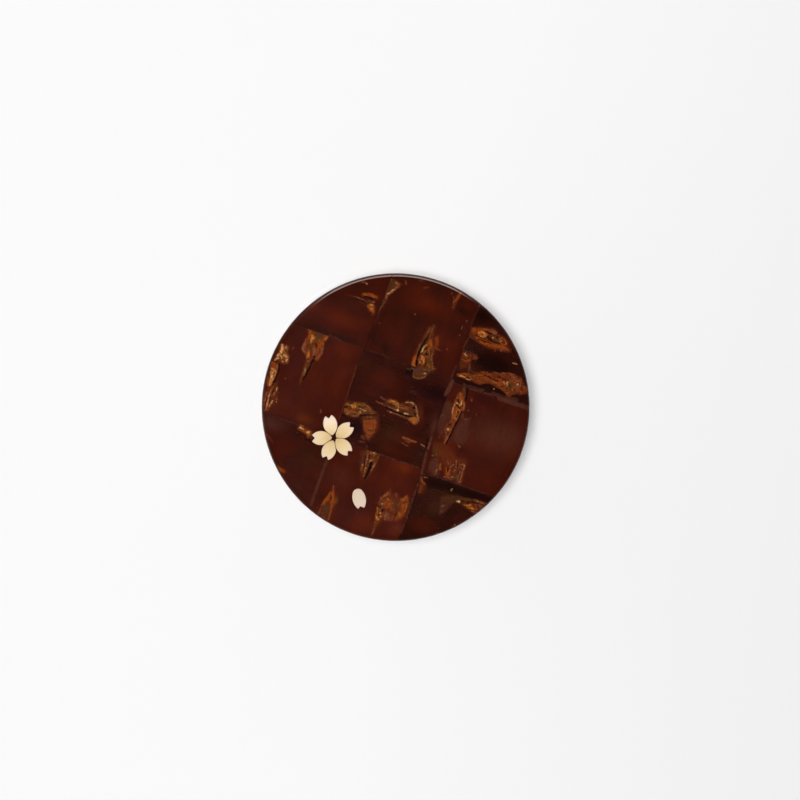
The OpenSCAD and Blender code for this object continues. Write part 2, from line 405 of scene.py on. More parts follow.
def rounded(points, radii, steps=4):
    """Round the corners of a closed (r, z) outline."""
    out = []
    n = len(points)
    for i in range(n):
        p = np.array(points[i], float)
        rad = radii[i] if isinstance(radii, (list, tuple)) else radii
        if rad <= 0:
            out.append(tuple(p))
            continue
        a = np.array(points[i - 1], float) - p
        b = np.array(points[(i + 1) % n], float) - p
        la, lb = np.linalg.norm(a), np.linalg.norm(b)
        a, b = a / la, b / lb
        half = math.acos(np.clip(np.dot(a, b), -1, 1)) / 2
        t = min(rad / math.tan(half), la * 0.49, lb * 0.49)
        rr = t * math.tan(half)
        c = p + (a + b) / np.linalg.norm(a + b) * (rr / math.sin(half))
        s, e = p + a * t, p + b * t
        a0 = math.atan2(s[1] - c[1], s[0] - c[0])
        a1 = math.atan2(e[1] - c[1], e[0] - c[0])
        while a1 - a0 > math.pi:
            a1 -= 2 * math.pi
        while a1 - a0 < -math.pi:
            a1 += 2 * math.pi
        for k in range(steps + 1):
            q = a0 + (a1 - a0) * k / steps
            out.append((c[0] + rr * math.cos(q), c[1] + rr * math.sin(q)))
    return out


# ---------------------------------------------------------------- materials

def lin(r, g, b):
    return tuple((c / 255 / 12.92) if c / 255 <= 0.04045 else ((c / 255 + 0.055) / 1.055) ** 2.4 for c in (r, g, b)) + (1.0,)


class Nodes:
    """Short hand for building a node tree."""

    def __init__(self, name):
        self.mat = bpy.data.materials.new(name)
        self.mat.use_nodes = True
        self.t = self.mat.node_tree
        self.t.nodes.clear()
        self.out = self.t.nodes.new("ShaderNodeOutputMaterial")
        self.bsdf = self.t.nodes.new("ShaderNodeBsdfPrincipled")
        self.t.links.new(self.bsdf.outputs[0], self.out.inputs["Surface"])

    def put(self, socket, value):
        if hasattr(value, "is_output") or isinstance(value, bpy.types.NodeSocket):
            self.t.links.new(value, socket)
        else:
            socket.default_value = value

    def attr(self, name, kind="Fac"):
        n = self.t.nodes.new("ShaderNodeAttribute")
        n.attribute_name = name
        return n.outputs[kind]

    def math(self, op, a, b=0.0, c=None, clamp=False):
        n = self.t.nodes.new("ShaderNodeMath")
        n.operation = op
        n.use_clamp = clamp
        self.put(n.inputs[0], a)
        self.put(n.inputs[1], b)
        if c is not None:
            self.put(n.inputs[2], c)
        return n.outputs[0]

    def mix(self, fac, a, b, blend="MIX"):
        n = self.t.nodes.new("ShaderNodeMix")
        n.data_type = "RGBA"
        n.blend_type = blend
        n.clamp_factor = True
        self.put(n.inputs[0], fac)
        self.put(n.inputs[6], a)
        self.put(n.inputs[7], b)
        return n.outputs[2]

    def noise(self, vec, scale, detail=3.0, rough=0.5, dist=0.0, out="Fac"):
        n = self.t.nodes.new("ShaderNodeTexNoise")
        n.inputs["Scale"].default_value = scale
        n.inputs["Detail"].default_value = detail
        n.inputs["Roughness"].default_value = rough
        n.inputs["Distortion"].default_value = dist
        self.t.links.new(vec, n.inputs["Vector"])
        return n.outputs[out]

    def ramp(self, fac, stops, interp="LINEAR"):
        n = self.t.nodes.new("ShaderNodeValToRGB")
        n.color_ramp.interpolation = interp
        el = n.color_ramp.elements
        while len(el) > 1:
            el.remove(el[-1])
        el[0].position, el[0].color = stops[0]
        for pos, col in stops[1:]:
            e = el.new(pos)
            e.color = col
        self.put(n.inputs[0], fac)
        return n.outputs[0]

    def range(self, v, a, b, c=0.0, d=1.0, kind="SMOOTHSTEP"):
        n = self.t.nodes.new("ShaderNodeMapRange")
        n.interpolation_type = kind
        self.put(n.inputs["Value"], v)
        n.inputs["From Min"].default_value = a
        n.inputs["From Max"].default_value = b
        n.inputs["To Min"].default_value = c
        n.inputs["To Max"].default_value = d
        return n.outputs[0]

    def vec(self, x, y, z):
        n = self.t.nodes.new("ShaderNodeCombineXYZ")
        self.put(n.inputs[0], x)
        self.put(n.inputs[1], y)
        self.put(n.inputs[2], z)
        return n.outputs[0]

    def vmul(self, v, s):
        n = self.t.nodes.new("ShaderNodeVectorMath")
        n.operation = "MULTIPLY"
        self.put(n.inputs[0], v)
        n.inputs[1].default_value = s
        return n.outputs[0]

    def split(self, v):
        n = self.t.nodes.new("ShaderNodeSeparateXYZ")
        self.put(n.inputs[0], v)
        return n.outputs

    def object_coords(self):
        return self.t.nodes.new("ShaderNodeTexCoord").outputs["Object"]

    def bump(self, height, strength, distance, normal=None):
        n = self.t.nodes.new("ShaderNodeBump")
        n.inputs["Strength"].default_value = strength
        n.inputs["Distance"].default_value = distance
        self.t.links.new(height, n.inputs["Height"])
        if normal is not None:
            self.t.links.new(normal, n.inputs["Normal"])
        return n.outputs[0]

    def set(self, **kw):
        names = {"color": "Base Color", "rough": "Roughness", "normal": "Normal", "coat": "Coat Weight",
                 "coat_rough": "Coat Roughness", "coat_ior": "Coat IOR", "spec": "Specular IOR Level",
                 "coat_normal": "Coat Normal", "sub": "Subsurface Weight", "sub_scale": "Subsurface Scale",
                 "ior": "IOR", "sheen": "Sheen Weight", "coat_tint": "Coat Tint"}
        for k, v in kw.items():
            self.put(self.bsdf.inputs[names[k]], v)
        return self.mat


def polished_bark():
    """Cherry bark, ironed and polished: dark maroon with gold and tan where old growth was cut."""
    n = Nodes("polished_bark")
    bark = n.attr("bark", "Vector")                       # mm along and across the pores, tile number
    fine = n.noise(n.vmul(bark, (0.55, 5.0, 1.0)), 1.0, 4.0, 0.62)
    grit = n.noise(n.vmul(bark, (3.2, 5.0, 1.0)), 1.0, 3.0, 0.6)
    broad = n.noise(n.vmul(bark, (0.16, 0.30, 1.0)), 1.0, 2.0, 0.5)
    tone = n.attr("tone")
    # plain bark: deep maroon, warmer and lighter with tone
    t = n.math("ADD", n.math("MULTIPLY", tone, 0.5), 0.5)
    t = n.math("ADD", t, n.math("MULTIPLY", n.math("SUBTRACT", fine, 0.5), 0.20))
    t = n.math("ADD", t, n.math("MULTIPLY", n.math("SUBTRACT", broad, 0.5), 0.16), clamp=True)
    col = n.ramp(t, [(0.0, lin(25, 7, 4)), (0.25, lin(42, 12, 6)), (0.5, lin(60, 16, 6)), (0.72, lin(75, 22, 7)),
                     (1.0, lin(100, 36, 11))])
    # towards purple or towards orange
    hue = n.attr("hue")
    col = n.mix(n.range(hue, 0.0, 1.0), col, n.mix(1.0, col, (1.20, 1.14, 0.85, 1), "MULTIPLY"))
    col = n.mix(n.range(hue, 0.0, -1.0), col, n.mix(1.0, col, (0.96, 0.95, 1.75, 1), "MULTIPLY"))

    def shade(name, lo, hi, spread=0.55):
        nonlocal col
        m = n.attr(name)
        v = n.math("ADD", n.math("MULTIPLY", grit, 0.5), n.math("MULTIPLY", fine, 0.5))
        c = n.mix(n.range(v, 0.36, 0.64), lo, hi)
        k = n.math("ADD", m, n.math("MULTIPLY", n.math("MULTIPLY", n.math("SUBTRACT", grit, 0.5), spread),
                                    n.math("MULTIPLY", n.math("MULTIPLY", m, n.math("SUBTRACT", 1.0, m)), 4.0)), clamp=True)
        col = n.mix(k, col, c)

    shade("haze", lin(66, 31, 22), lin(86, 47, 34), 0.2)
    shade("brown", lin(74, 25, 9), lin(94, 38, 15), 0.35)
    shade("olive", lin(60, 33, 12), lin(94, 57, 23), 0.3)
    shade("orange", lin(102, 35, 6), lin(152, 70, 18))
    shade("tan", lin(108, 54, 33), lin(152, 92, 62))
    shade("gold", lin(132, 62, 12), lin(178, 104, 34))
    # pale: the scars' pale cream colour and painted highlights and glints on their bright ridges
    shade("pale", lin(172, 110, 52), lin(230, 178, 116))
    shade("dark", lin(14, 5, 4), lin(24, 9, 6))
    # soft micro relief under the lacquer, finer one on it
    h = n.math("ADD", n.math("MULTIPLY", fine, 0.6), n.math("MULTIPLY", grit, 0.4))
    under = n.bump(h, 0.25, 0.00004)
    over = n.bump(n.math("ADD", broad, n.math("MULTIPLY", fine, 0.12)), 0.10, 0.00010)
    rough = n.range(fine, 0.3, 0.7, 0.42, 0.56)
    return n.set(color=col, rough=rough, normal=under, spec=0.0, coat=0.9, coat_rough=0.07, coat_ior=1.45, coat_normal=over)


def raw_bark(name, light, dark, pore, gloss, rough, scale=1.0, flat=False):
    """The bark skins inside: redder and plainer, with rows of pores round the wall.
    A wall is laid out by its angle about the caddy's axis, a disc by its own plane."""
    n = Nodes(name)
    x, y, z = n.split(n.object_coords())
    if flat:
        a, b = n.math("MULTIPLY", x, 1000.0), n.math("MULTIPLY", y, 1000.0)
    else:
        a = n.math("MULTIPLY", n.math("ARCTAN2", y, x), 37.0)
        b = n.math("MULTIPLY", z, 1000.0)
    base = n.vec(a, b, 3.7)
    streak = n.noise(n.vmul(base, (0.11 * scale, 1.5 * scale, 1.0)), 1.0, 5.0, 0.6)
    broad = n.noise(n.vmul(base, (0.05 * scale, 0.12 * scale, 1.0)), 1.0, 3.0, 0.55)
    pores = n.noise(n.vmul(base, (0.42 * scale, 2.6 * scale, 1.0)), 1.0, 2.0, 0.45, 0.4)
    spots = n.range(pores, 0.61, 0.70)
    core = n.range(pores, 0.69, 0.76)
    t = n.math("ADD", n.math("MULTIPLY", streak, 0.55), n.math("MULTIPLY", broad, 0.45))
    col = n.ramp(t, [(0.30, dark), (0.52, tuple((p + q) / 2 for p, q in zip(light, dark))), (0.72, light)])
    col = n.mix(n.math("MULTIPLY", spots, 0.75), col, pore)
    col = n.mix(n.math("MULTIPLY", core, 0.6), col, dark)
    h = n.math("SUBTRACT", n.math("MULTIPLY", streak, 0.5), n.math("MULTIPLY", spots, -0.5))
    r = n.range(streak, 0.3, 0.7, rough - 0.08, rough + 0.08)
    return n.set(color=col, rough=r, normal=n.bump(h, 0.35, 0.00008), spec=0.4, coat=gloss, coat_rough=0.16, coat_ior=1.45)


def wood(name, light, dark, ring_mm=1.4, wall=False, rough=0.5, coat=0.0, axis=0):
    """Fine-grained wood. A bent tube's grain runs round it, a board's along one direction."""
    n = Nodes(name)
    x, y, z = n.split(n.object_coords())
    if wall:
        a = n.math("MULTIPLY", n.math("ARCTAN2", y, x), 38.0)
        b = n.math("MULTIPLY", z, 1000.0)
        rad = n.math("MULTIPLY", n.math("SQRT", n.math("ADD", n.math("MULTIPLY", x, x), n.math("MULTIPLY", y, y))), 1000.0)
        v = n.vec(a, b, rad)
        ply = n.noise(n.vmul(v, (0.03, 0.25, 9.0)), 1.0, 2.0, 0.5)
    else:
        a = n.math("MULTIPLY", (x, y, z)[axis], 1000.0)
        b = n.math("MULTIPLY", (y, x, x)[axis], 1000.0)
        v = n.vec(a, b, n.math("MULTIPLY", (z, z, y)[axis], 1000.0))
        ply = n.noise(n.vmul(v, (0.02, 0.2, 0.2)), 1.0, 1.0, 0.5)
    warp = n.noise(n.vmul(v, (0.02, 0.10, 0.10)), 1.0, 3.0, 0.55)
    rings = n.math("SINE", n.math("ADD", n.math("MULTIPLY", n.split(v)[1], 6.2832 / ring_mm), n.math("MULTIPLY", warp, 26.0)))
    rings = n.math("ADD", n.math("MULTIPLY", rings, 0.5), 0.5)
    fibre = n.noise(n.vmul(v, (0.35, 7.0, 7.0)), 1.0, 4.0, 0.65)
    t = n.math("ADD", n.math("MULTIPLY", n.math("POWER", rings, 2.2), 0.45), n.math("MULTIPLY", fibre, 0.42))
    t = n.math("ADD", t, n.math("MULTIPLY", ply, 0.16), clamp=True)
    col = n.ramp(t, [(0.12, light), (0.5, tuple(0.6 * p + 0.4 * q for p, q in zip(light, dark))), (0.95, dark)])
    # dark glue under the joints of the bark
    glue = n.range(z, 0.08735, 0.08745)
    if wall:
        glue = n.math("MAXIMUM", glue, n.range(rad, 39.43, 39.48))
    col = n.mix(glue, col, lin(20, 9, 7))
    r = n.range(fibre, 0.3, 0.7, rough - 0.06, rough + 0.08)
    return n.set(color=col, rough=r, normal=n.bump(fibre, 0.3, 0.00006), spec=0.35, coat=coat, coat_rough=0.18, coat_ior=1.45)


def inlay():
    """Pale polished wood of the petals, yellower at the root and paler at the lobes."""
    n = Nodes("inlay_wood")
    v = n.attr("petal", "Vector")                         # mm along, mm across, petal number
    along, across, number = n.split(v)
    fibre = n.noise(n.vmul(v, (0.5, 9.0, 1.0)), 1.0, 4.0, 0.6)
    cloud = n.noise(n.vmul(v, (0.35, 0.5, 1.0)), 1.0, 2.0, 0.5)
    t = n.math("DIVIDE", along, 6.0)
    t = n.math("ADD", t, n.math("MULTIPLY", n.math("SUBTRACT", cloud, 0.5), 0.5), clamp=True)
    col = n.ramp(t, [(0.0, lin(214, 181, 122)), (0.35, lin(228, 198, 147)), (0.7, lin(235, 209, 166)), (1.0, lin(238, 212, 190))])
    # the top petal is paler, and the loose one is greyer
    pale = n.ramp(t, [(0.0, lin(226, 196, 140)), (0.35, lin(240, 214, 170)), (0.7, lin(247, 225, 192)), (1.0, lin(245, 222, 208))])
    col = n.mix(n.range(number, 11.0, 0.0), col, pale)
    grey = n.ramp(t, [(0.0, lin(218, 193, 170)), (0.5, lin(222, 200, 174)), (1.0, lin(226, 201, 186))])
    col = n.mix(n.range(number, 44.0, 55.0), col, grey)
    col = n.mix(n.math("MULTIPLY", n.range(fibre, 0.5, 0.72), 0.22), col, lin(208, 172, 120))
    edge = n.attr("edge")
    col = n.mix(n.math("MULTIPLY", edge, 0.35), col, lin(226, 196, 176))
    return n.set(color=col, rough=0.42, normal=n.bump(fibre, 0.15, 0.00003), spec=0.4, coat=0.8, coat_rough=0.08, coat_ior=1.45)


M_BARK = polished_bark()
M_INLAY = inlay()
M_LINING = raw_bark("lining_bark", lin(142, 70, 42), lin(84, 34, 20), lin(176, 106, 66), 0.25, 0.42)
M_SLEEVE = raw_bark("sleeve_bark", lin(150, 66, 36), lin(88, 30, 17), lin(190, 112, 66), 0.75, 0.36)
M_LINING_FLAT = raw_bark("lining_bark_flat", lin(142, 70, 42), lin(84, 34, 20), lin(176, 106, 66), 0.25, 0.42, flat=True)
M_TUBE = wood("tube_wood", lin(214, 172, 122), lin(158, 108, 66), 1.1, wall=True, rough=0.55)
M_BOARD = wood("board_wood", lin(216, 178, 130), lin(160, 112, 70), 1.6, rough=0.55)
M_RING = wood("ring_wood", lin(222, 186, 140), lin(172, 126, 82), 1.3, wall=True, rough=0.5)
M_KNOB = wood("knob_wood", lin(150, 78, 44), lin(84, 36, 20), 1.5, rough=0.36, coat=0.6, axis=0)


# ---------------------------------------------------------------- lid top: tiles

RING = 39.765                       # where the top tiles end on the shoulder
C, S = math.cos(TURN), math.sin(TURN)


def to_xy(u, v):
    return u * C - v * S, u * S + v * C


SEAM_L = [(-43, -14.0), (-14.8, -14.4), (13.5, -14.7), (43, -14.0)]
SEAM_R = [(-43, 14.0), (-14.8, 13.6), (13.5, 13.25), (43, 13.4)]
FRONT = [-14.8, -14.8, -14.8, -15.6, -15.5]
BACK = [13.2, 13.5, 12.9, 12.75, 12.5]


def seam_u(k, v):
    if k in (0, 3):
        return -43.0 if k == 0 else 43.0
    s = SEAM_L if k == 1 else SEAM_R
    return float(np.interp(v, [p[0] for p in s], [p[1] for p in s]))


def seam_v(j, i, end):
    if j in (0, 3):
        return -43.0 if j == 0 else 43.0
    return (FRONT if j == 1 else BACK)[3 + end if i == 2 else i + end]


def tile_corners(i, j):
    g = JOINT / 2
    out = []
    for ex, ey in ((0, 0), (1, 0), (1, 1), (0, 1)):
        v = seam_v(j + ey, i, ex)
        u = seam_u(i + ex, v)
        out.append(to_xy(u + (g if ex == 0 else -g), v + (g if ey == 0 else -g)))
    return np.array(out)


def clip_to_circle(corners, r, step):
    """Outline of a convex quad cut by a circle, sampled every step."""
    segs = []
    n = len(corners)
    for k in range(n):
        a, b = corners[k], corners[(k + 1) % n]
        d = b - a
        qa, qb, qc = d @ d, 2 * a @ d, a @ a - r * r
        disc = qb * qb - 4 * qa * qc
        if disc <= 0:
            continue
        t0, t1 = (-qb - math.sqrt(disc)) / (2 * qa), (-qb + math.sqrt(disc)) / (2 * qa)
        t0, t1 = max(t0, 0), min(t1, 1)
        if t1 - t0 > 1e-6:
            segs.append((a + t0 * d, a + t1 * d))
    out = []
    m = len(segs)
    for k, (p, q) in enumerate(segs):
        cnt = max(2, int(np.linalg.norm(q - p) / step))
        out += [p + (q - p) * t for t in np.linspace(0, 1, cnt, endpoint=False)]
        nxt = segs[(k + 1) % m][0]
        if np.linalg.norm(nxt - q) > 1e-6:
            a0, a1 = math.atan2(q[1], q[0]), math.atan2(nxt[1], nxt[0])
            while a1 < a0:
                a1 += 2 * math.pi
            cnt = max(2, int((a1 - a0) * r / step))
            out += [np.array((r * math.cos(a), r * math.sin(a))) for a in np.linspace(a0, a1, cnt, endpoint=False)]
    return np.array(out)


# slope of the lid's top towards its edge: a hand-worn bevel first, then the round
BEVEL = np.array([[38.78, 0.0], [38.95, 0.27], [39.50, 0.42], [39.58, 1.1], [39.765, 1.2], [40.0, 1.6]])


def shoulder(r):
    """Height of the outer skin at a radius, on the top."""
    t = np.linspace(BEVEL[0, 0], BEVEL[-1, 0], 400)
    slope = np.interp(t, BEVEL[:, 0], BEVEL[:, 1])
    drop = np.concatenate([[0], np.cumsum((slope[1:] + slope[:-1]) / 2 * np.diff(t))])
    return H - np.interp(r, t, drop)


# The blossom: each petal has its own root and direction, as it was cut and laid by hand.
BLOSSOM = (-18.4, -9.1)
PETALS = [((-0.48, 0.72), 101.0), ((0.64, 0.12), 38.0), ((0.64, -0.36), -47.0), ((-0.24, -0.83), -113.0), ((-0.60, 0.0), -178.0)]
BETWEEN = [69.5, -5.0, -80.0, -145.5, 141.5]
PETAL_L, PETAL_W, NOTCH = 5.95, 4.16, 0.9
# left lobe, right lobe, sideways shift of the notch, depth of the notch
LOBES = [(0.0, 0.06, 0.10, 0.86), (0.04, -0.02, -0.05, 0.92), (-0.02, 0.05, 0.12, 0.95), (0.05, 0.0, 0.05, 0.90), (0.0, -0.04, -0.08, 0.84)]
LOOSE = ((-10.9, -27.3), -77.0)


def lens_half(x, chord, wid):
    rad = (chord * chord / 4 + wid * wid / 4) / wid
    return np.sqrt(np.maximum(rad * rad - (x - chord / 2) ** 2, 0)) - (rad - wid / 2)


def soften(p, times=2):
    for _ in range(times):
        q = 0.25 * np.roll(p, 1, 0) + 0.5 * p + 0.25 * np.roll(p, -1, 0)
        p = q
    return p


def resample(p, step):
    d = np.linalg.norm(np.roll(p, -1, 0) - p, axis=1)
    s = np.concatenate([[0], np.cumsum(d)])
    n = max(8, int(s[-1] / step))
    t = np.linspace(0, s[-1], n, endpoint=False)
    q = np.vstack([p, p[:1]])
    return np.stack([np.interp(t, s, q[:, 0]), np.interp(t, s, q[:, 1])], 1)


def clip_half(p, nx, ny, off):
    """Keep the part of a polygon where nx*x + ny*y <= off."""
    out = []
    for a, b in zip(p, np.roll(p, -1, 0)):
        da, db = a[0] * nx + a[1] * ny - off, b[0] * nx + b[1] * ny - off
        if da <= 0:
            out.append(a)
        if (da < 0) != (db < 0):
            out.append(a + (b - a) * (da / (da - db)))
    return np.array(out)


def petal_shape(length, chord, wid, start, lobes, blunt=0.0):
    """Closed outline along +x from the root at 0, with a notched tip."""
    la, lb, side, notch = lobes
    xs = np.linspace(0, length, 120)
    half = lens_half(xs - start, chord, wid)
    if blunt:
        half = np.where(xs < blunt, np.minimum(half, np.sqrt(np.maximum(blunt ** 2 - (blunt - xs) ** 2, 0))), half)
    up = [(x, h) for x, h in zip(xs, half) if x < (length - notch) + (max(h - side, 0)) * (notch + la) / 0.95 and x <= length + la]
    dn = [(x, -h) for x, h in zip(xs, half) if x < (length - notch) + (max(h + side, 0)) * (notch + lb) / 0.95 and x <= length + lb]
    tip = [(length - notch, side)]
    pts = up + [(length + la * 0.5 + 0.02, up[-1][1] * 0.93)] + tip + [(length + lb * 0.5 + 0.02, dn[-1][1] * 0.93)] + dn[::-1][:-1]
    return resample(soften(resample(np.array(pts), 0.07), 3), 0.07)


def petal_outlines(grow=0.0):
    """Outlines of the five petals and the loose one, in the lid's plane."""
    out = []
    for k, (root, turn) in enumerate(PETALS):
        p = petal_shape(PETAL_L, PETAL_L * 1.11, PETAL_W, 0.0, LOBES[k])
        a = math.radians(turn)
        q = np.stack([root[0] + p[:, 0] * math.cos(a) - p[:, 1] * math.sin(a),
                      root[1] + p[:, 0] * math.sin(a) + p[:, 1] * math.cos(a)], 1)
        for line, sign in ((BETWEEN[k - 1], 1), (BETWEEN[k], -1)):
            b = math.radians(line)
            nx, ny = -math.sin(b) * sign, math.cos(b) * sign
            q = clip_half(q, nx, ny, -0.07)
        q = resample(q, 0.09)
        out.append((q + np.array(BLOSSOM), (root[0] + BLOSSOM[0], root[1] + BLOSSOM[1]), a))
    p = petal_shape(PETAL_L, PETAL_L + 1.5, 3.95, -0.7, (0.05, -0.12, -0.12, 0.72), blunt=1.8)
    a = math.radians(LOOSE[1])
    p = p - np.array([PETAL_L / 2, 0])
    q = np.stack([LOOSE[0][0] + p[:, 0] * math.cos(a) - p[:, 1] * math.sin(a),
                  LOOSE[0][1] + p[:, 0] * math.sin(a) + p[:, 1] * math.cos(a)], 1)
    q = resample(q, 0.09)
    root = (LOOSE[0][0] - PETAL_L / 2 * math.cos(a), LOOSE[0][1] - PETAL_L / 2 * math.sin(a))
    out.append((q, root, a))
    if grow:
        grown = []
        for q, r, a in out:
            t = np.roll(q, -1, 0) - np.roll(q, 1, 0)
            t /= np.maximum(np.linalg.norm(t, axis=1, keepdims=True), 1e-9)
            nrm = np.stack([t[:, 1], -t[:, 0]], 1)
            area = 0.5 * np.sum(q[:, 0] * np.roll(q[:, 1], -1) - np.roll(q[:, 0], -1) * q[:, 1])
            grown.append((q + nrm * grow * (1 if area > 0 else -1), r, a))
        out = grown
    return out


OUTLINES = petal_outlines()
POCKETS = [q for q, _, _ in petal_outlines(0.015)]

TILES = {
    "north_west": (0, 2), "north": (1, 2), "north_east": (2, 2),
    "west": (0, 1), "centre": (1, 1), "east": (2, 1),
    "south_west": (0, 0), "south": (1, 0), "south_east": (2, 0),
}


# ---------------------------------------------------------------- lid top: the pattern, tile by tile

ALONG = {"north": 70.5, "west": 70.5, "east": 70.5, "south": 70.5,
         "north_west": -19.5, "north_east": -19.5, "centre": -19.5, "south_west": -19.5, "south_east": -19.5}
BASE = {  # tone, hue
    "north": (-0.24, 0.15), "north_west": (-0.16, 0.2), "north_east": (-0.52, 0.0),
    "west": (-0.02, 0.2), "centre": (-0.36, -0.1), "east": (-0.06, -0.2),
    "south_west": (-0.20, -0.3), "south": (0.0, 0.0), "south_east": (-0.60, -0.2),
}


def pairs(xy):
    return [(xy[k], xy[k + 1]) for k in range(0, len(xy), 2)]


def scar(b, pts, ang, base="orange", amt=0.8, gold=0.6, tan=0.4, olive=0.35, dark=0.45, halo=0.4, rings=0.5, seed=0):
    """Where old growth was planed through: an irregular patch of fibres and ridges."""
    if halo:
        b.fill("brown", pts, halo, soft=0.5, grow=0.3)
    b.fill(base, pts, amt, soft=0.16)
    b.mottle("olive", pts, ang, olive, long=1.7, wide=0.8, thr=0.0, soft=0.35, seed=seed)
    b.mottle("gold", pts, ang, gold, long=1.7, wide=0.45, thr=0.12, soft=0.25, seed=seed + 3)
    b.mottle("tan", pts, ang, tan, long=1.1, wide=0.35, thr=0.22, soft=0.2, seed=seed + 5)
    b.mottle("dark", pts, ang, dark, long=2.4, wide=0.28, thr=0.32, soft=0.15, seed=seed + 7)
    if rings:
        b.contour("dark", pts, (0.02,), 0.05, 0.7 * rings, seed=seed)
        b.contour("tan", pts, (0.26,), 0.06, 0.7 * rings, gap=0.2, seed=seed + 2)
        b.contour("dark", pts, (0.48,), 0.05, 0.6 * rings, gap=0.2, seed=seed + 4)


def ground(b, xy, ang, base="orange", amt=0.75, halo=0.55, grow=0.2, mix="olive", much=0.5, dark=0.35, seed=0):
    """The body of a scar, under its listed strokes."""
    p = pairs(xy)
    b.fill("brown", p, halo, soft=0.5, grow=grow)
    b.fill(base, p, amt * 0.88, soft=0.22)
    b.mottle("brown", p, ang, 0.6, long=1.6, wide=0.5, thr=0.0, soft=0.4, seed=seed + 4)
    b.mottle(mix, p, ang, much, long=1.8, wide=0.6, thr=0.02, soft=0.35, seed=seed)
    b.mottle("dark", p, ang, dark * 1.2, long=2.0, wide=0.30, thr=0.20, soft=0.2, seed=seed + 1)
    b.mottle("tan", p, ang, 0.3, long=1.0, wide=0.3, thr=0.3, soft=0.2, seed=seed + 2)


def strokes(b, rows):
    """rows of (layer, width, strength, x, y, x, y, ...); one point makes a dot of that width."""
    for layer, w, amt, *xy in rows:
        bright = layer in ("tan", "gold", "pale")
        if len(xy) == 2:
            b.dot(layer, xy, (w if np.isscalar(w) else w[0]) * 0.52, amt * (0.85 if bright else 1.0))
        else:
            k = {"pale": 0.72, "tan": 0.8, "gold": 0.85}.get(layer, 1.0)
            b.line(layer, pairs(xy), np.atleast_1d(w) * k, amt, soft=0.12, rough=0.12 if bright else 0.0)


def patches(b, rows):
    """rows of (layer, softness, strength, x, y, x, y, ...)"""
    for layer, soft, amt, *xy in rows:
        b.fill(layer, pairs(xy), amt, soft=soft)


def cup(b):
    """Olive cup below the large northern scar; it crosses the joint."""
    patches(b, [
        ("dark", 0.2, 0.95, 6.3, 12.1, 5.6, 11.5, 4.4, 11.0, 3.1, 10.8, 2.9, 10.2, 4.2, 9.7, 5.1, 10.0, 5.6, 10.8),
        ("olive", 0.2, 0.85, 5.1, 10.4, 5.8, 11.6, 7.4, 11.4, 9.2, 11.3, 10.3, 10.6, 9.7, 9.7, 8.7, 8.9, 7.6, 8.4, 6.3, 8.3, 5.3, 8.8, 4.9, 9.6),
        ("haze", 0.2, 0.85, 5.9, 10.9, 7.0, 11.8, 7.8, 11.0, 7.9, 9.8, 7.0, 9.4, 6.1, 9.7),
    ])
    strokes(b, [
        ("olive", 0.3, 0.7, 3.4, 11.4, 4.9, 11.3), ("tan", 0.4, 0.75, 5.2, 9.6, 5.6, 8.9, 6.6, 8.5, 7.8, 8.7, 8.8, 9.2), ("gold", 0.35, 0.6, 6.4, 8.6, 7.6, 8.6),
        ("pale", 0.5, 0.8, 8.8, 10.0), ("gold", 0.35, 0.7, 8.0, 9.8, 8.6, 10.4), ("tan", 0.35, 0.6, 8.0, 11.2, 9.2, 11.1, 10.2, 10.6), ("dark", 0.3, 0.5, 8.0, 9.3),
        ("tan", 0.3, 0.5, 5.3, 10.2, 5.5, 11.2),
    ])


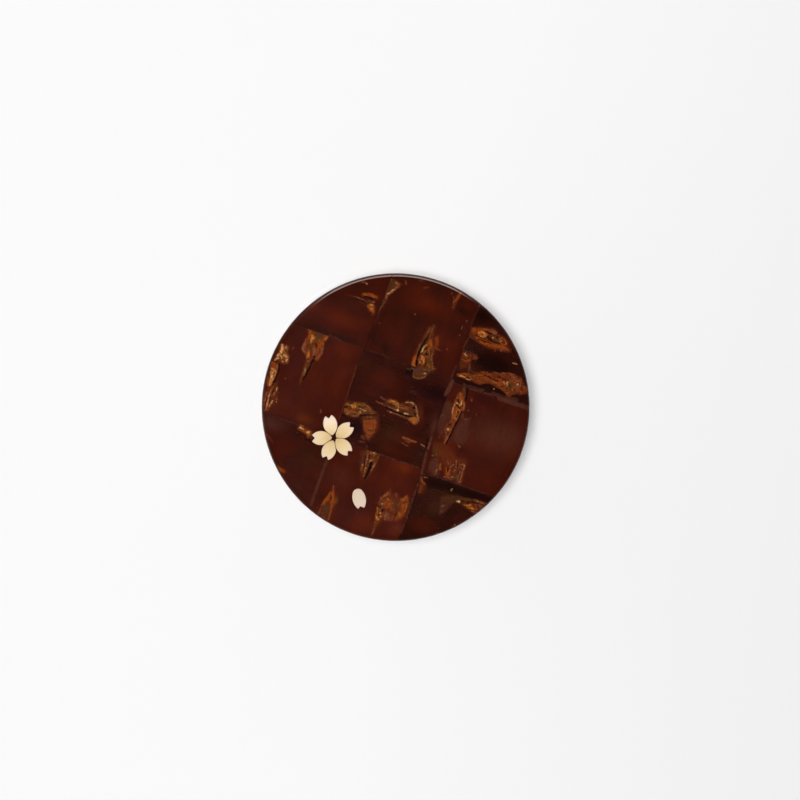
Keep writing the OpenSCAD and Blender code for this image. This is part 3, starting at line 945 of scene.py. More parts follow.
def top_north(b):
    b.cloud("tone", (9.5, 30.5), 3.2, 7, 80, 0.45)
    b.cloud("hue", (9.5, 30), 4, 7, 80, 0.8)
    b.cloud("tone", (3.2, 28), 2.0, 6, 85, -0.16)
    b.cloud("hue", (3.2, 28), 2.2, 7, 85, -0.5)
    b.cloud("tone", (-7, 21.4), 3, 3.5, 70, -0.25)
    b.cloud("tone", (14.2, 19.5), 3.4, 6, 70, 0.36)
    b.cloud("hue", (14.2, 19.5), 4, 6, 70, 0.5)
    b.cloud("tone", (17, 27.5), 3, 4, 70, 0.18)
    b.cloud("hue", (-2, 24), 4, 5, 70, 0.5)
    b.cloud("tone", (-2, 17), 4, 1.6, -20, -0.16)
    b.cloud("tone", (0.5, 20.5), 3, 3, 0, 0.14)
    b.cloud("tone", (6.4, 35.5), 2, 3, 80, 0.25)
    b.cloud("hue", (6.4, 35.5), 3, 3, 80, 0.6)
    b.cloud("tone", (20.2, 28.5), 1.6, 3, 70, -0.4)
    ground(b, (-1.5, 38.3, -0.2, 38, 0.3, 37.4, 1.7, 36.8, 1.0, 35.7, -0.2, 34.9, -1.6, 33.9, -2.5, 33, -2.6, 32, -3.5, 30.8, -4.6, 29.0, -5.8, 27.1,
               -6.4, 26.6, -5.6, 29, -4.6, 31, -3.8, 33, -3.4, 34.5, -2.6, 36.5, -2.2, 38), 60, "olive", 0.7, 0.45, 0.1, "haze", 0.6, 0.2, 11)
    strokes(b, [
        ("tan", (0.6, 1.0, 0.9, 0.6), 0.85, 0.2, 37.3, 0.8, 36.5, -0.4, 35.1, -1.6, 34.1, -2.6, 33.3, -2.9, 32.4),
        ("pale", 0.35, 0.75, -0.5, 35.2, -1.5, 34.3, -2.4, 33.8), ("gold", 0.5, 0.7, 0.9, 36.7), ("pale", 0.4, 0.6, 0.2, 36.9),
        ("gold", 0.45, 0.6, -1.3, 38.0), ("haze", 0.8, 0.6, -2.0, 37.2, -2.4, 36), ("olive", 0.4, 0.7, -1.0, 37.0, -0.8, 36),
        ("dark", 0.3, 0.5, -2.8, 36.2, -3.4, 34.6), ("tan", 0.35, 0.6, -3.2, 34.6, -3.6, 33.2), ("dark", 0.3, 0.5, -3.2, 31.9, -4.0, 30.4),
        ("tan", 0.28, 0.75, -3.2, 31.6, -4.2, 29.9, -5.3, 28.3, -6.1, 27.1), ("haze", 0.3, 0.6, -6.1, 27.1, -6.3, 25.2),
        ("orange", 0.45, 0.7, 3.0, 37.6, 3.1, 36.9), ("tan", 0.35, 0.45, 7.0, 37.5, 7.7, 37.8, 8.3, 37.5), ("tan", 0.3, 0.3, 7.1, 34.9, 6.7, 34.2),
        ("orange", 0.6, 0.35, 8.4, 35.5, 9.7, 35.8), ("tan", 0.55, 0.8, 5.8, 27.7), ("tan", 0.5, 0.5, -4.8, 25.1), ("tan", 0.5, 0.7, 21.2, 25.7),
        ("brown", 1.3, 0.6, 19.2, 33.8, 18.3, 32.4, 17.6, 31, 17.1, 29.6),
        ("orange", 0.7, 0.75, 19.3, 33.9, 18.7, 32.8, 18.0, 31.8), ("tan", 0.45, 0.6, 17.2, 33, 17.4, 31.8, 17.3, 30.6), ("tan", 0.5, 0.6, 16.8, 33.9),
        ("tan", 0.5, 0.6, 17.1, 29.8), ("dark", 0.3, 0.5, 17.0, 33.1), ("tan", 0.3, 0.6, 19.9, 24.2, 19.6, 23.2), ("tan", 0.45, 0.6, 19.1, 21.5),
    ])
    # the large one beside the right seam
    ground(b, (11.6, 24.5, 10.0, 23.6, 8.8, 21.6, 8.0, 20.0, 7.4, 19.1, 6.5, 17.2, 5.6, 15.4, 4.9, 13.8, 4.9, 12.2, 6.0, 11.6, 8.5, 11.1, 10.5, 10.7,
               11.8, 11.4, 11.2, 12.2, 10.9, 14, 11.5, 16.8, 11.1, 18.5, 10.9, 20.5, 11.3, 22.5), 66, "olive", 0.6, 0.6, 0.2, "orange", 0.6, 0.45, 21)
    patches(b, [
        ("brown", 0.4, 0.7, 11.4, 20.8, 12.6, 21.4, 13.1, 20, 12.9, 18.4, 12, 17.2, 11.3, 18.2),
        ("orange", 0.25, 0.85, 10.2, 20.2, 10.9, 19.7, 10.9, 18.0, 10.2, 17.0, 9.9, 18.4),
        ("olive", 0.25, 0.75, 9.3, 13.9, 10.4, 13.9, 10.9, 12.6, 11.7, 11.5, 10.6, 10.9, 9.2, 11.2, 9.0, 12.4),
    ])
    strokes(b, [
        ("orange", 0.9, 0.45, 12.3, 20.8, 12.3, 19.2, 11.9, 17.9), ("haze", 0.4, 0.8, 9.9, 23.7, 9.0, 22, 8.5, 20.8), ("tan", 0.35, 0.6, 11.5, 24.4, 10.9, 23.0, 10.5, 21.8),
        ("olive", 0.6, 0.6, 10.6, 22.6, 9.9, 21.2, 9.4, 20.4), ("dark", 0.45, 0.55, 10.0, 21.8, 9.2, 20.3), ("haze", 0.5, 0.9, 8.2, 20.4),
        ("dark", (0.5, 0.6, 0.6, 0.5), 0.95, 9.3, 20.4, 8.4, 19.2, 7.5, 17.2, 6.7, 15.5, 6.35, 14, 6.25, 12.5),
        ("olive", 0.6, 0.85, 7.5, 18.9, 6.9, 17.7, 6.4, 16.3), ("gold", 0.3, 0.6, 7.3, 18.7, 6.7, 17.3), ("orange", (0.6, 1.0, 1.1, 0.8), 0.95, 6.1, 15.5, 5.5, 14.1, 5.35, 12.9, 5.3, 11.8),
        ("gold", 0.4, 0.75, 5.9, 14.9, 5.4, 13.6, 5.3, 12.4), ("pale", 0.25, 0.35, 5.6, 14.4, 5.35, 13.4),
        ("pale", (0.35, 0.55, 0.5), 0.9, 9.3, 18.6, 8.7, 18.2, 8.2, 17.5, 7.7, 16.5), ("gold", 0.45, 0.9, 9.3, 18.6, 9.9, 18.1, 9.9, 17.4, 9.5, 17.1),
        ("dark", 0.45, 0.6, 9.1, 17.6, 8.7, 17.0), ("gold", 0.45, 0.8, 10.3, 19.4, 10.6, 18.6), ("orange", 0.5, 0.9, 10.4, 20.0, 9.7, 19.2),
        ("gold", 0.4, 0.75, 8.3, 16.1, 8.9, 16.9, 9.8, 16.8, 10.1, 15.8, 9.7, 14.9, 9.0, 15.2), ("dark", 0.5, 0.75, 9.0, 16.0, 9.3, 15.7),
        ("gold", 0.9, 0.95, 7.7, 15.3, 8.3, 14.6, 8.4, 13.8), ("orange", 0.9, 0.8, 7.2, 14.2, 7.4, 13.3, 8.2, 13.1), ("pale", 0.35, 0.8, 7.8, 15.0, 7.6, 14.2),
        ("pale", 0.4, 0.8, 7.2, 13.4), ("gold", 0.5, 0.9, 8.3, 13.1), ("pale", 0.3, 0.6, 8.6, 14.0, 8.4, 13.3), ("dark", 0.35, 0.5, 7.8, 13.7), ("dark", 0.3, 0.6, 8.7, 12.3, 9.0, 13.4),
        ("tan", 0.35, 0.8, 11.4, 16.8, 10.8, 15.4, 10.8, 14.2, 11.1, 13), ("gold", 0.3, 0.7, 10.9, 12.6, 10.9, 11.6), ("gold", 0.35, 0.6, 9.6, 12.8, 10.2, 12.0),
        ("tan", 0.25, 0.6, 11.0, 11.4, 11.8, 11.5), ("olive", 0.5, 0.6, 9.9, 15.2, 10.0, 14.0),
        ("tan", 0.35, 0.6, 12.1, 17.1, 12.8, 17.3, 13.6, 16.8), ("tan", 0.5, 0.6, 15.3, 17.3),
        ("dark", 0.4, 0.6, 2.6, 12.3, 4.4, 12.3),
    ])
    cup(b)
    # small oval left of the middle
    ground(b, (-2.2, 14.2, -1.2, 14.6, 0, 13.9, 1.2, 12.8, 1.3, 11.6, 0.2, 11.3, -1, 11.9, -1.9, 12.9), -35, "olive", 0.85, 0.3, 0.1, "gold", 0.35, 0.2, 31)
    strokes(b, [("gold", 0.5, 0.8, -1.3, 13.9), ("tan", 0.5, 0.85, 0.7, 12.1), ("haze", 0.55, 0.9, -0.4, 12.9), ("tan", 0.3, 0.6, -1.8, 13.2, -1.0, 12.3, 0.2, 11.7),
                ("tan", 0.3, 0.5, -0.6, 14.0, 0.6, 13.1, 1.1, 12.3)])
    patches(b, [("tan", 0.15, 0.75, -10.2, 17.3, -9, 17.4, -9.4, 16.6, -10.4, 15.8, -10.9, 14.6, -11.3, 13.4, -11.6, 12.6, -11.8, 13.2, -11.2, 15, -10.9, 16.2)])
    strokes(b, [("pale", 0.25, 0.5, -9.9, 17, -10.8, 15.4), ("orange", 0.35, 0.35, 2.2, 13, 1.7, 11.2, 1, 9.5)])


def top_north_west(b):
    b.cloud("tone", (-16, 26), 8, 2.4, -20, 0.5)
    b.cloud("hue", (-15, 26), 9, 3, -20, 0.9)
    b.cloud("tone", (-19, 21.8), 8, 1.1, -20, -0.4)
    b.cloud("olive", (-19, 21.8), 8, 1.1, -20, 0.09)
    b.cloud("tone", (-25, 31), 4, 3, -20, 0.3)
    b.cloud("haze", (-26, 31), 3, 3, -20, 0.35)
    b.cloud("tone", (-10, 35.4), 5, 1.4, -20, -0.15)
    b.cloud("tone", (-16, 31.5), 6, 1.6, -20, -0.12)
    b.cloud("olive", (-12, 30), 3, 1.5, -20, 0.08)
    strokes(b, [
        ("tan", 0.5, 0.75, -10.1, 37.3, -9.3, 37.2, -8.4, 36.8), ("pale", 0.4, 0.6, -8.6, 36.8), ("tan", 0.4, 0.5, -10.0, 37.2),
        ("brown", 1.6, 0.5, -9.6, 33.5, -7.6, 33.4, -5.6, 32.7), ("orange", (0.7, 1.0, 0.9, 0.6), 0.9, -9.6, 33.6, -8.4, 33.6, -7.0, 33.4, -5.7, 32.7),
        ("gold", 0.4, 0.7, -9.4, 33.6, -8.2, 33.7), ("gold", 0.5, 0.6, -6.7, 32.9), ("dark", 0.35, 0.75, -9.2, 32.9, -8.2, 32.8, -6.9, 32.2),
        ("tan", 0.3, 0.7, -12.6, 33.1, -11, 32.5, -9.5, 32.0, -8.5, 31.3), ("dark", 0.25, 0.5, -12.0, 32.5, -10.4, 31.8, -9.2, 31.2),
        ("haze", 0.35, 0.6, -15, 33.5, -12.6, 33.1), ("olive", 0.6, 0.8, -8.1, 31.7, -7.4, 31.5, -6.5, 31.4), ("tan", 0.45, 0.75, -6.9, 31.5, -6.3, 31.3),
        ("haze", 0.3, 0.5, -10.8, 31.6, -8.8, 30.4), ("dark", 0.4, 0.5, -8.9, 31.0, -8.3, 30.9),
    ])
    patches(b, [
        ("brown", 0.45, 0.5, -8.8, 30.8, -7.2, 31.2, -6.1, 30.6, -5.9, 28.4, -6.6, 27.5, -7.8, 28.2, -8.7, 29.6),
        ("orange", 0.15, 0.95, -8.2, 30.7, -7.2, 31, -6.5, 30.4, -6.3, 29.4, -6.3, 28.2, -6.9, 28.1, -7.6, 28.7, -8.2, 29.6),
        ("gold", 0.2, 0.8, -7.7, 30.7, -6.9, 30.6, -6.6, 29.6, -6.7, 28.7, -7.4, 29.0, -7.7, 29.8),
    ])
    strokes(b, [("pale", 0.4, 0.75, -7.5, 30.6, -7.0, 30.5), ("pale", 0.45, 0.5, -7.2, 29.3), ("tan", 0.4, 0.8, -8.3, 30.3, -8.3, 29.8), ("dark", 0.2, 0.55, -7.6, 29.95, -6.6, 29.9),
                ("tan", 0.35, 0.7, -6.5, 29.2, -6.5, 28.2), ("olive", 0.3, 0.7, -6.8, 28.0, -7.0, 27.5)])


def top_north_east(b):
    b.cloud("tone", (26, 27), 5, 2.6, -30, -0.5)
    b.cloud("tone", (28, 13.4), 7.5, 2.6, -20, -0.75)
    b.cloud("hue", (27, 15), 6, 3, -20, -0.2)
    b.cloud("tone", (20.2, 12.6), 2.2, 4, 70, 0.55)
    b.cloud("olive", (20.4, 12.4), 2.2, 3.4, 70, 0.11)
    b.cloud("tone", (35.4, 19.5), 2.2, 6, 60, 0.4)
    b.cloud("hue", (35.4, 19.5), 3, 6, 60, 0.4)
    b.cloud("tone", (33.4, 24.4), 2, 4, 50, 0.25)
    b.cloud("tone", (20.6, 18.6), 1.6, 2, 70, 0.2)
    b.cloud("haze", (20.4, 18.4), 1.6, 2, 70, 0.2)
    q = (22.4, 23.5, 25, 23.7, 28.3, 23.5, 29.8, 22.9, 30.4, 21.6, 32.2, 20.9, 33.2, 19.6, 33.4, 18.2, 34.3, 16.8, 33, 16.7, 31, 17.2, 29.5, 17.4, 27.6, 17.8,
         26.2, 18.4, 24.8, 19.3, 23.6, 20.4, 22.4, 21.0, 21.8, 21.6, 22.1, 22.6)
    ground(b, q, -24, "brown", 0.8, 0.5, 0.3, "orange", 0.6, 0.35, 51)
    patches(b, [
        ("orange", 0.3, 0.75, 22.6, 23.4, 25, 23.6, 28.0, 23.3, 28.0, 22.7, 25.6, 22.7, 24.2, 21.8, 22.8, 21.9),
        ("orange", 0.22, 0.9, 23.6, 21.0, 24.8, 20.6, 26.4, 19.4, 28.2, 19.4, 30, 18.9, 32.0, 18.4, 33.8, 17.2, 33.0, 16.9, 31, 17.5, 29.4, 17.7, 27.6, 18.1, 26.2, 18.7, 24.8, 19.5),
        ("haze", 0.3, 0.6, 21.6, 22.2, 22.6, 22.6, 22.9, 21.2, 22.1, 20.7), ("tan", 0.25, 0.5, 28.2, 23.2, 30.1, 22.6, 30, 21.7, 28.8, 21.9),
        ("olive", 0.3, 0.7, 28.3, 21.2, 30.6, 21.2, 30.8, 19.6, 28.8, 19.8), ("gold", 0.2, 0.95, 24.5, 22.1, 25.4, 22.8, 26.7, 22.3, 27.3, 21.7, 27.2, 20.9, 26.0, 20.8, 24.9, 21.4),
    ])
    strokes(b, [
        ("pale", 0.45, 0.8, 24.9, 22.1, 25.6, 22.5, 26.4, 22.1), ("pale", 0.4, 0.75, 25.3, 21.1, 26.2, 21.0, 27.0, 21.4), ("orange", 0.55, 0.95, 25.8, 21.7), ("tan", 0.5, 0.8, 27.1, 21.4),
        ("dark", 0.3, 0.9, 26.7, 22.6, 27.6, 22.2, 28.8, 21.9), ("dark", (0.25, 0.4, 0.35, 0.25), 0.9, 27.3, 21.2, 28.0, 20.3, 29.3, 19.4, 31.2, 18.8),
        ("dark", 0.28, 0.6, 24.4, 20.3, 26, 19.9, 27.4, 19.4, 28.8, 18.9), ("gold", 0.3, 0.6, 24.4, 20.7, 25.8, 20.2, 27.0, 19.8), ("tan", 0.3, 0.55, 29.2, 22.7, 30.0, 22.2),
        ("pale", 0.5, 0.7, 29.0, 20.7), ("tan", 0.3, 0.6, 29.8, 20.5, 30.4, 20.0), ("dark", 0.25, 0.7, 30.1, 21.1, 30.5, 20.4),
        ("gold", 0.32, 0.85, 30.9, 20.4, 31.6, 20.6, 32.4, 20.2, 33.0, 19.4, 32.9, 18.7, 32.2, 18.7, 31.4, 19.2, 30.9, 20.0), ("pale", 0.25, 0.6, 31.0, 20.3, 31.6, 19.6), ("olive", 0.6, 0.8, 32.0, 19.6),
        ("pale", 0.3, 0.4, 32.9, 19.3, 32.9, 18.8), ("tan", 0.6, 0.4, 28.6, 18.7, 30.4, 18.5), ("tan", 0.3, 0.5, 31.8, 17.8, 33.4, 17.1), ("orange", 0.35, 0.7, 29.6, 17.5, 29.6, 16.7), ("orange", 0.4, 0.75, 31.4, 17.4, 31.5, 16.6),
        ("tan", 0.35, 0.4, 24.4, 20.9, 25.2, 20.0), ("haze", 0.35, 0.8, 22.0, 20.8, 23.4, 20.3, 24.4, 19.3),
        ("pale", 0.35, 0.8, 35.0, 13.1, 36.2, 12.9),
    ])
    ground(b, (20, 17.3, 20.5, 16.7, 22, 16.1, 23.6, 15.8, 24.5, 15.2, 24.4, 14.4, 23.8, 14.1, 22.8, 14.3, 22.4, 13.6, 21.4, 13.3, 20, 13.2, 19.2, 13.8, 19.3, 14.6, 19.8, 15.4, 20.0, 16.4),
           -20, "brown", 0.85, 0.4, 0.1, "orange", 0.5, 0.25, 55)
    strokes(b, [
        ("tan", 0.25, 0.7, 20.1, 17.3, 20.8, 16.9, 21.4, 16.6), ("pale", 0.3, 0.7, 20.5, 15.7, 20.9, 16.3), ("pale", 0.4, 0.65, 20.8, 15.6, 21.2, 15.3), ("olive", 0.6, 0.6, 21.7, 15.5), ("olive", 0.6, 0.6, 22.2, 14.9),
        ("tan", 0.55, 0.7, 23.5, 15.0), ("tan", 0.35, 0.6, 23.2, 14.5, 24.1, 14.4), ("gold", 0.35, 0.5, 21.0, 14.7), ("orange", 0.4, 0.8, 20.4, 13.9, 22.4, 14.0), ("dark", 0.22, 0.5, 20.6, 17.0, 21.8, 16.6),
        ("brown", 0.9, 0.6, 19.2, 13.0, 20.8, 12.8, 20.6, 12.1, 19.6, 11.9), ("olive", 0.7, 0.55, 19.4, 12.6, 20.4, 12.3),
        ("haze", 0.6, 0.85, 22, 12.9, 22.1, 11.4, 21.7, 10.4, 22.3, 9.8), ("tan", 0.3, 0.4, 22, 12.6, 22.0, 11.2), ("olive", 0.5, 0.6, 22.6, 11.0, 23.2, 10.3, 24.4, 10.2),
    ])
    q = (18.4, 9.7, 19.6, 10.1, 21.2, 10.1, 22.8, 9.7, 24.2, 9.8, 25.2, 10.3, 26.4, 10.4, 28, 10.2, 29.6, 10.2, 31, 10.1, 32.6, 10.1, 34.2, 10.1, 35.2, 9.8, 36.4, 9.1, 37.2, 8.8, 37.8, 7.8, 38.2, 7.1,
         38.5, 6.4, 39.2, 5.8, 39.2, 4.4, 37.6, 3.9, 36.0, 4.0, 34.8, 3.9, 34.0, 3.1, 33.5, 2.9, 33, 3.5, 32.4, 4.4, 31.6, 5.2, 30.4, 5.9, 29.2, 6.6, 28, 7.3, 26.6, 7.1, 25.4, 6.8, 24, 7.3, 22.6, 8.0,
         21.4, 8.0, 20.2, 8.6, 19, 9)
    ground(b, q, -14, "orange", 0.72, 0.5, 0.15, "brown", 0.6, 0.45, 61)
    patches(b, [
        ("orange", 0.5, 0.45, 26.4, 9.4, 28, 9.6, 30, 9.0, 31.8, 8.4, 32.6, 7.4, 31.6, 6.2, 30.2, 6.6, 28.8, 7.4, 26.8, 8.0),
        ("brown", 0.4, 0.6, 28.6, 9.6, 31.4, 9.4, 33.8, 8.6, 33.0, 7.8, 30.4, 8.4, 28.0, 9.0), ("olive", 0.3, 0.75, 32.8, 7.2, 34.6, 7.4, 35.6, 6.6, 35.4, 5.2, 34, 4.6, 33, 5.6), ("brown", 0.3, 0.5, 33.0, 5.2, 36.4, 5.2, 38.6, 5.0, 37.6, 4.1, 35.0, 4.1, 33.8, 3.2),
    ])
    strokes(b, [
        ("pale", (0.4, 0.5, 0.4), 0.8, 19.0, 9.3, 19.9, 9.25, 20.7, 8.75, 21.4, 8.3, 22.3, 8.3), ("gold", 0.35, 0.8, 20.8, 9.2, 21.6, 9.3, 22.4, 8.9, 22.6, 8.4), ("dark", 0.4, 0.7, 21.3, 8.85, 21.9, 8.75),
        ("dark", 0.4, 0.8, 18.8, 8.7, 19.8, 8.4, 20.8, 7.9), ("orange", 0.4, 0.7, 18.5, 9.7, 20.4, 9.95, 21.8, 9.9),
        ("tan", 0.4, 0.55, 25.3, 10.7, 26.2, 10.5), ("tan", 0.4, 0.6, 27.3, 10.4), ("tan", 0.4, 0.5, 29.4, 10.3, 30.4, 10.2), ("tan", 0.45, 0.6, 31.9, 10.2, 32.6, 10.0), ("tan", 0.45, 0.6, 34.3, 9.9, 35.2, 9.6),
        ("gold", 0.45, 0.45, 25, 9.5, 26.6, 9.4, 28.2, 9.8), ("tan", 0.5, 0.35, 24.0, 8.2, 25.4, 7.6), ("dark", 0.32, 0.75, 26.4, 9.5, 27.8, 9.0, 29.2, 8.2, 30.6, 7.8), ("dark", 0.3, 0.6, 30.6, 9.1, 32.2, 8.4, 33.0, 8.0),
        ("gold", 0.4, 0.5, 28.4, 8.0, 29.8, 7.2, 31.0, 6.4), ("pale", 0.4, 0.7, 32.2, 7.4, 32.9, 7.0, 33.4, 7.6), ("pale", 0.35, 0.5, 33.2, 6.4, 33.6, 7.1), ("gold", 0.35, 0.7, 34.0, 7.6, 34.8, 7.6),
        ("dark", 0.4, 0.6, 33.9, 6.6, 34.3, 5.8), ("gold", 0.35, 0.6, 35.0, 6.0, 34.8, 5.0), ("tan", 0.35, 0.6, 34.6, 8.7, 35.6, 8.8), ("orange", 0.6, 0.8, 35.2, 8.2, 36.4, 8.0),
        ("tan", 0.35, 0.8, 35.7, 7.4, 36.4, 7.7, 37.1, 7.4, 37.3, 6.7, 36.8, 6.1, 35.9, 6.2, 35.6, 6.8), ("pale", 0.55, 0.8, 36.4, 6.8), ("tan", 0.4, 0.6, 37.6, 8.3), ("tan", 0.3, 0.5, 37.8, 6.6, 38.6, 5.4),
        ("dark", 0.3, 0.6, 37.4, 6.0, 38.0, 5.0), ("gold", 0.3, 0.5, 33.0, 4.2, 34.2, 4.6), ("gold", 0.3, 0.5, 36.2, 4.8, 37.6, 4.6),
        ("dark", 1.3, 0.6, 21.4, 6.9, 24.2, 5.9, 27, 6.2, 29.4, 5.2, 31.6, 4.2, 32.8, 2.9),
        ("pale", 0.45, 0.85, 29.3, 5.4), ("haze", 0.9, 0.55, 20.4, 6.7, 23, 5.9, 26, 5.0), ("haze", 1.2, 0.45, 29, 4.2, 32, 3.0, 36, 2.2),
    ])


def top_west(b):
    b.cloud("tone", (-15.5, 16.8), 4, 3, -20, 0.3)
    b.cloud("hue", (-15.5, 16.8), 5, 4, -20, 0.7)
    b.cloud("tone", (-20, 7), 6, 7, 70, 0.12)
    b.cloud("hue", (-20, 7), 6, 8, 70, 0.4)
    b.cloud("tone", (-36.4, 2), 3.4, 6, 80, 0.3)
    b.cloud("hue", (-36, 2), 4, 8, 80, 0.6)
    b.cloud("hue", (-29, 12), 3, 7, 70, 0.6)
    b.cloud("tone", (-33, 14), 2.4, 6, 70, -0.14)
    b.cloud("hue", (-33, 14), 2.4, 7, 70, -0.6)
    b.cloud("tone", (-28.5, 2), 4, 5, 70, -0.05)
    b.cloud("tone", (-29.5, 20), 2.4, 4, 60, -0.1)
    b.cloud("tone", (-19.6, 19.6), 1.4, 1.2, 70, -0.15)
    b.cloud("hue", (-19.6, 19.6), 1.6, 1.4, 70, -0.6)
    b.cloud("orange", (-27.4, -3.4), 3.0, 1.6, -20, 0.22)
    q = (-25.9, 23.5, -24, 22.8, -22.5, 22.3, -20.9, 21.7, -19.9, 21.4, -20.4, 20.3, -21.3, 19.3, -21.5, 18.2, -21.5, 17.0, -21.9, 15.9, -22.6, 14.8, -23.4, 13.9, -23.9, 14.2, -24.4, 14.0,
         -25.2, 12.4, -26.2, 10.6, -27.2, 8.8, -28.2, 7.6, -28.6, 6.6, -28.5, 7.9, -28.0, 9.5, -27.6, 10.8, -27, 12.8, -26.6, 14.5, -26.9, 15.8, -27.5, 16.3, -28.0, 17.5, -27.6, 18.6, -26.9, 20, -26.2, 21.0, -26.0, 22)
    ground(b, q, 68, "orange", 0.75, 0.55, 0.15, "olive", 0.45, 0.35, 71)
    patches(b, [
        ("olive", 0.25, 0.85, -24.2, 22.7, -22.6, 22.2, -21, 21.7, -21.6, 20.5, -22.3, 19.8, -23.2, 19.4, -24.0, 19.2, -24.1, 20.6), ("haze", 0.3, 0.5, -24.0, 22.5, -22.6, 22.2, -21.2, 21.7, -21.8, 20.8, -23.4, 20.6),
        ("gold", 0.15, 0.95, -25.1, 21.6, -24.4, 21.3, -24.1, 20.5, -24.6, 19.8, -25.1, 19.2, -25.6, 19.1, -25.4, 20.2),
        ("tan", 0.2, 0.75, -26.3, 20.9, -26.6, 20.0, -27.0, 18.8, -27.2, 17.6, -27.1, 16.2, -27.8, 16.9, -27.9, 17.8, -27.3, 19.2),
        ("gold", 0.2, 0.85, -25.9, 16.9, -25.5, 15.8, -25.8, 14.9, -26.6, 14.6, -26.5, 15.8),
        ("olive", 0.25, 0.7, -26.2, 19.0, -24.6, 18.8, -24.6, 17.2, -26.0, 17.4), ("tan", 0.2, 0.7, -24.6, 17.7, -23.9, 17.4, -23.9, 16.2, -24.7, 15.2, -24.9, 16.2),
        ("brown", 0.25, 0.8, -25.4, 17.0, -24.8, 16.8, -24.8, 15.2, -25.4, 14.6),
    ])
    strokes(b, [
        ("orange", 0.6, 0.85, -25.8, 23.3, -25.5, 22.0, -25.8, 20.6), ("gold", 0.35, 0.7, -25.2, 23.1, -25.3, 22.2), ("pale", 0.6, 0.8, -24.7, 20.6), ("pale", 0.3, 0.7, -24.9, 21.2, -25.2, 19.8), ("dark", 0.5, 0.75, -24.7, 18.95),
        ("dark", 0.5, 0.8, -23.9, 18.7, -23.6, 18.2), ("dark", 0.4, 0.55, -25.2, 17.5), ("dark", 0.3, 0.5, -26.3, 18.6, -26.6, 17.2), ("orange", 0.9, 0.85, -23.0, 18.8, -22.8, 17.6, -23.2, 16.4), ("gold", 0.35, 0.6, -23.0, 19.6, -22.6, 20.0),
        ("gold", 0.5, 0.8, -20.3, 21.1, -20.9, 20.4, -21.5, 19.4, -21.7, 18.5), ("orange", 0.7, 0.8, -20.9, 21.2, -21.8, 20.0, -22.3, 19.0), ("pale", 0.3, 0.4, -20.4, 21.0, -20.9, 20.4),
        ("tan", 0.5, 0.75, -22.3, 18.1, -21.9, 17.1, -22.2, 16.0), ("tan", 0.6, 0.7, -22.7, 15.7, -23.3, 14.7, -23.8, 14.3), ("orange", 0.5, 0.7, -23.6, 15.4, -23.4, 14.2), ("dark", 0.25, 0.5, -22.7, 17.6, -22.8, 16.4),
        ("pale", 0.35, 0.35, -26.0, 16.4, -26.1, 15.2), ("olive", 0.6, 0.8, -26.5, 13.9, -26.2, 13.2), ("tan", 0.35, 0.75, -26.2, 13.9, -25.6, 13.5), ("haze", 0.5, 0.9, -25.6, 13.3), ("dark", 0.35, 0.5, -26.3, 14.5, -25.8, 14.3),
        ("olive", 0.8, 0.85, -26.7, 12.4, -27.2, 11.2, -27.5, 10.2, -27.9, 9.3), ("tan", 0.35, 0.8, -26.8, 12.2, -27.0, 11.4), ("pale", 0.35, 0.6, -26.9, 11.6, -27.2, 10.2), ("tan", 0.3, 0.7, -27.4, 10.6, -27.8, 9.6),
        ("dark", (0.4, 0.75, 0.65, 0.6, 0.5, 0.35), 0.95, -24.1, 15.1, -24.7, 13.9, -25.5, 12.3, -26.3, 10.7, -27.0, 9.2, -27.9, 8.1), ("haze", 0.35, 0.8, -28.2, 8.9, -28.5, 8.0, -28.6, 6.9), ("olive", 0.35, 0.5, -24.5, 13.4, -25.0, 12.0),
        ("olive", 0.3, 0.8, -24.7, 15.0, -24.3, 14.2), ("tan", 0.45, 0.55, -30.3, 18.0, -30.6, 17.4, -30.8, 17.2), ("tan", 0.5, 0.8, -32.9, 8.6), ("tan", 0.35, 0.45, -34.8, 4.3), ("tan", 0.4, 0.75, -22.35, -0.8, -22.3, -1.6),
        ("dark", 0.4, 0.35, -31.5, 14.6),
    ])
    # bright ones at the left rim
    ground(b, (-34.4, 18.6, -33.6, 18.6, -32.2, 18.2, -32.0, 17.2, -32.4, 16.2, -31.8, 15.6, -31.8, 14.6, -32.2, 13.0, -33.3, 13.0, -34.2, 13.4, -35.0, 14.0, -35.8, 14.2, -35.6, 15.4, -35, 16.5), 62,
           "orange", 0.7, 0.5, 0.2, "olive", 0.5, 0.4, 81)
    strokes(b, [
        ("gold", (0.7, 1.2, 1.3, 0.8), 0.95, -33.9, 18.4, -33.8, 17.4, -34.0, 16.5, -34.5, 15.8), ("pale", (0.5, 0.8, 0.9, 0.5), 0.9, -33.9, 18.1, -33.9, 17.2, -34.1, 16.4, -34.5, 15.9),
        ("tan", 0.5, 0.8, -32.6, 18.1, -32.4, 17.5), ("gold", 0.45, 0.8, -33.3, 16.7, -32.9, 16.0), ("pale", 0.35, 0.7, -33.3, 16.6), ("pale", 0.4, 0.75, -35.4, 15.4, -34.8, 15.2), ("pale", 0.4, 0.85, -35.6, 14.4, -34.9, 14.6),
        ("pale", 0.4, 0.75, -33.5, 15.6, -33.5, 14.9), ("gold", 0.65, 0.9, -32.6, 15.6, -32.3, 14.9, -32.8, 14.2), ("pale", 0.35, 0.8, -32.6, 15.3, -32.4, 14.7), ("pale", 0.55, 0.8, -33.7, 13.6), ("tan", 0.4, 0.7, -32.3, 13.3),
        ("dark", 0.4, 0.5, -32.8, 16.7), ("dark", 0.5, 0.5, -34.2, 14.9), ("brown", 0.9, 0.6, -34.5, 13.6), ("dark", 0.35, 0.5, -33.0, 13.9), ("olive", 0.35, 0.5, -34.2, 15.6, -33.8, 14.4),
    ])
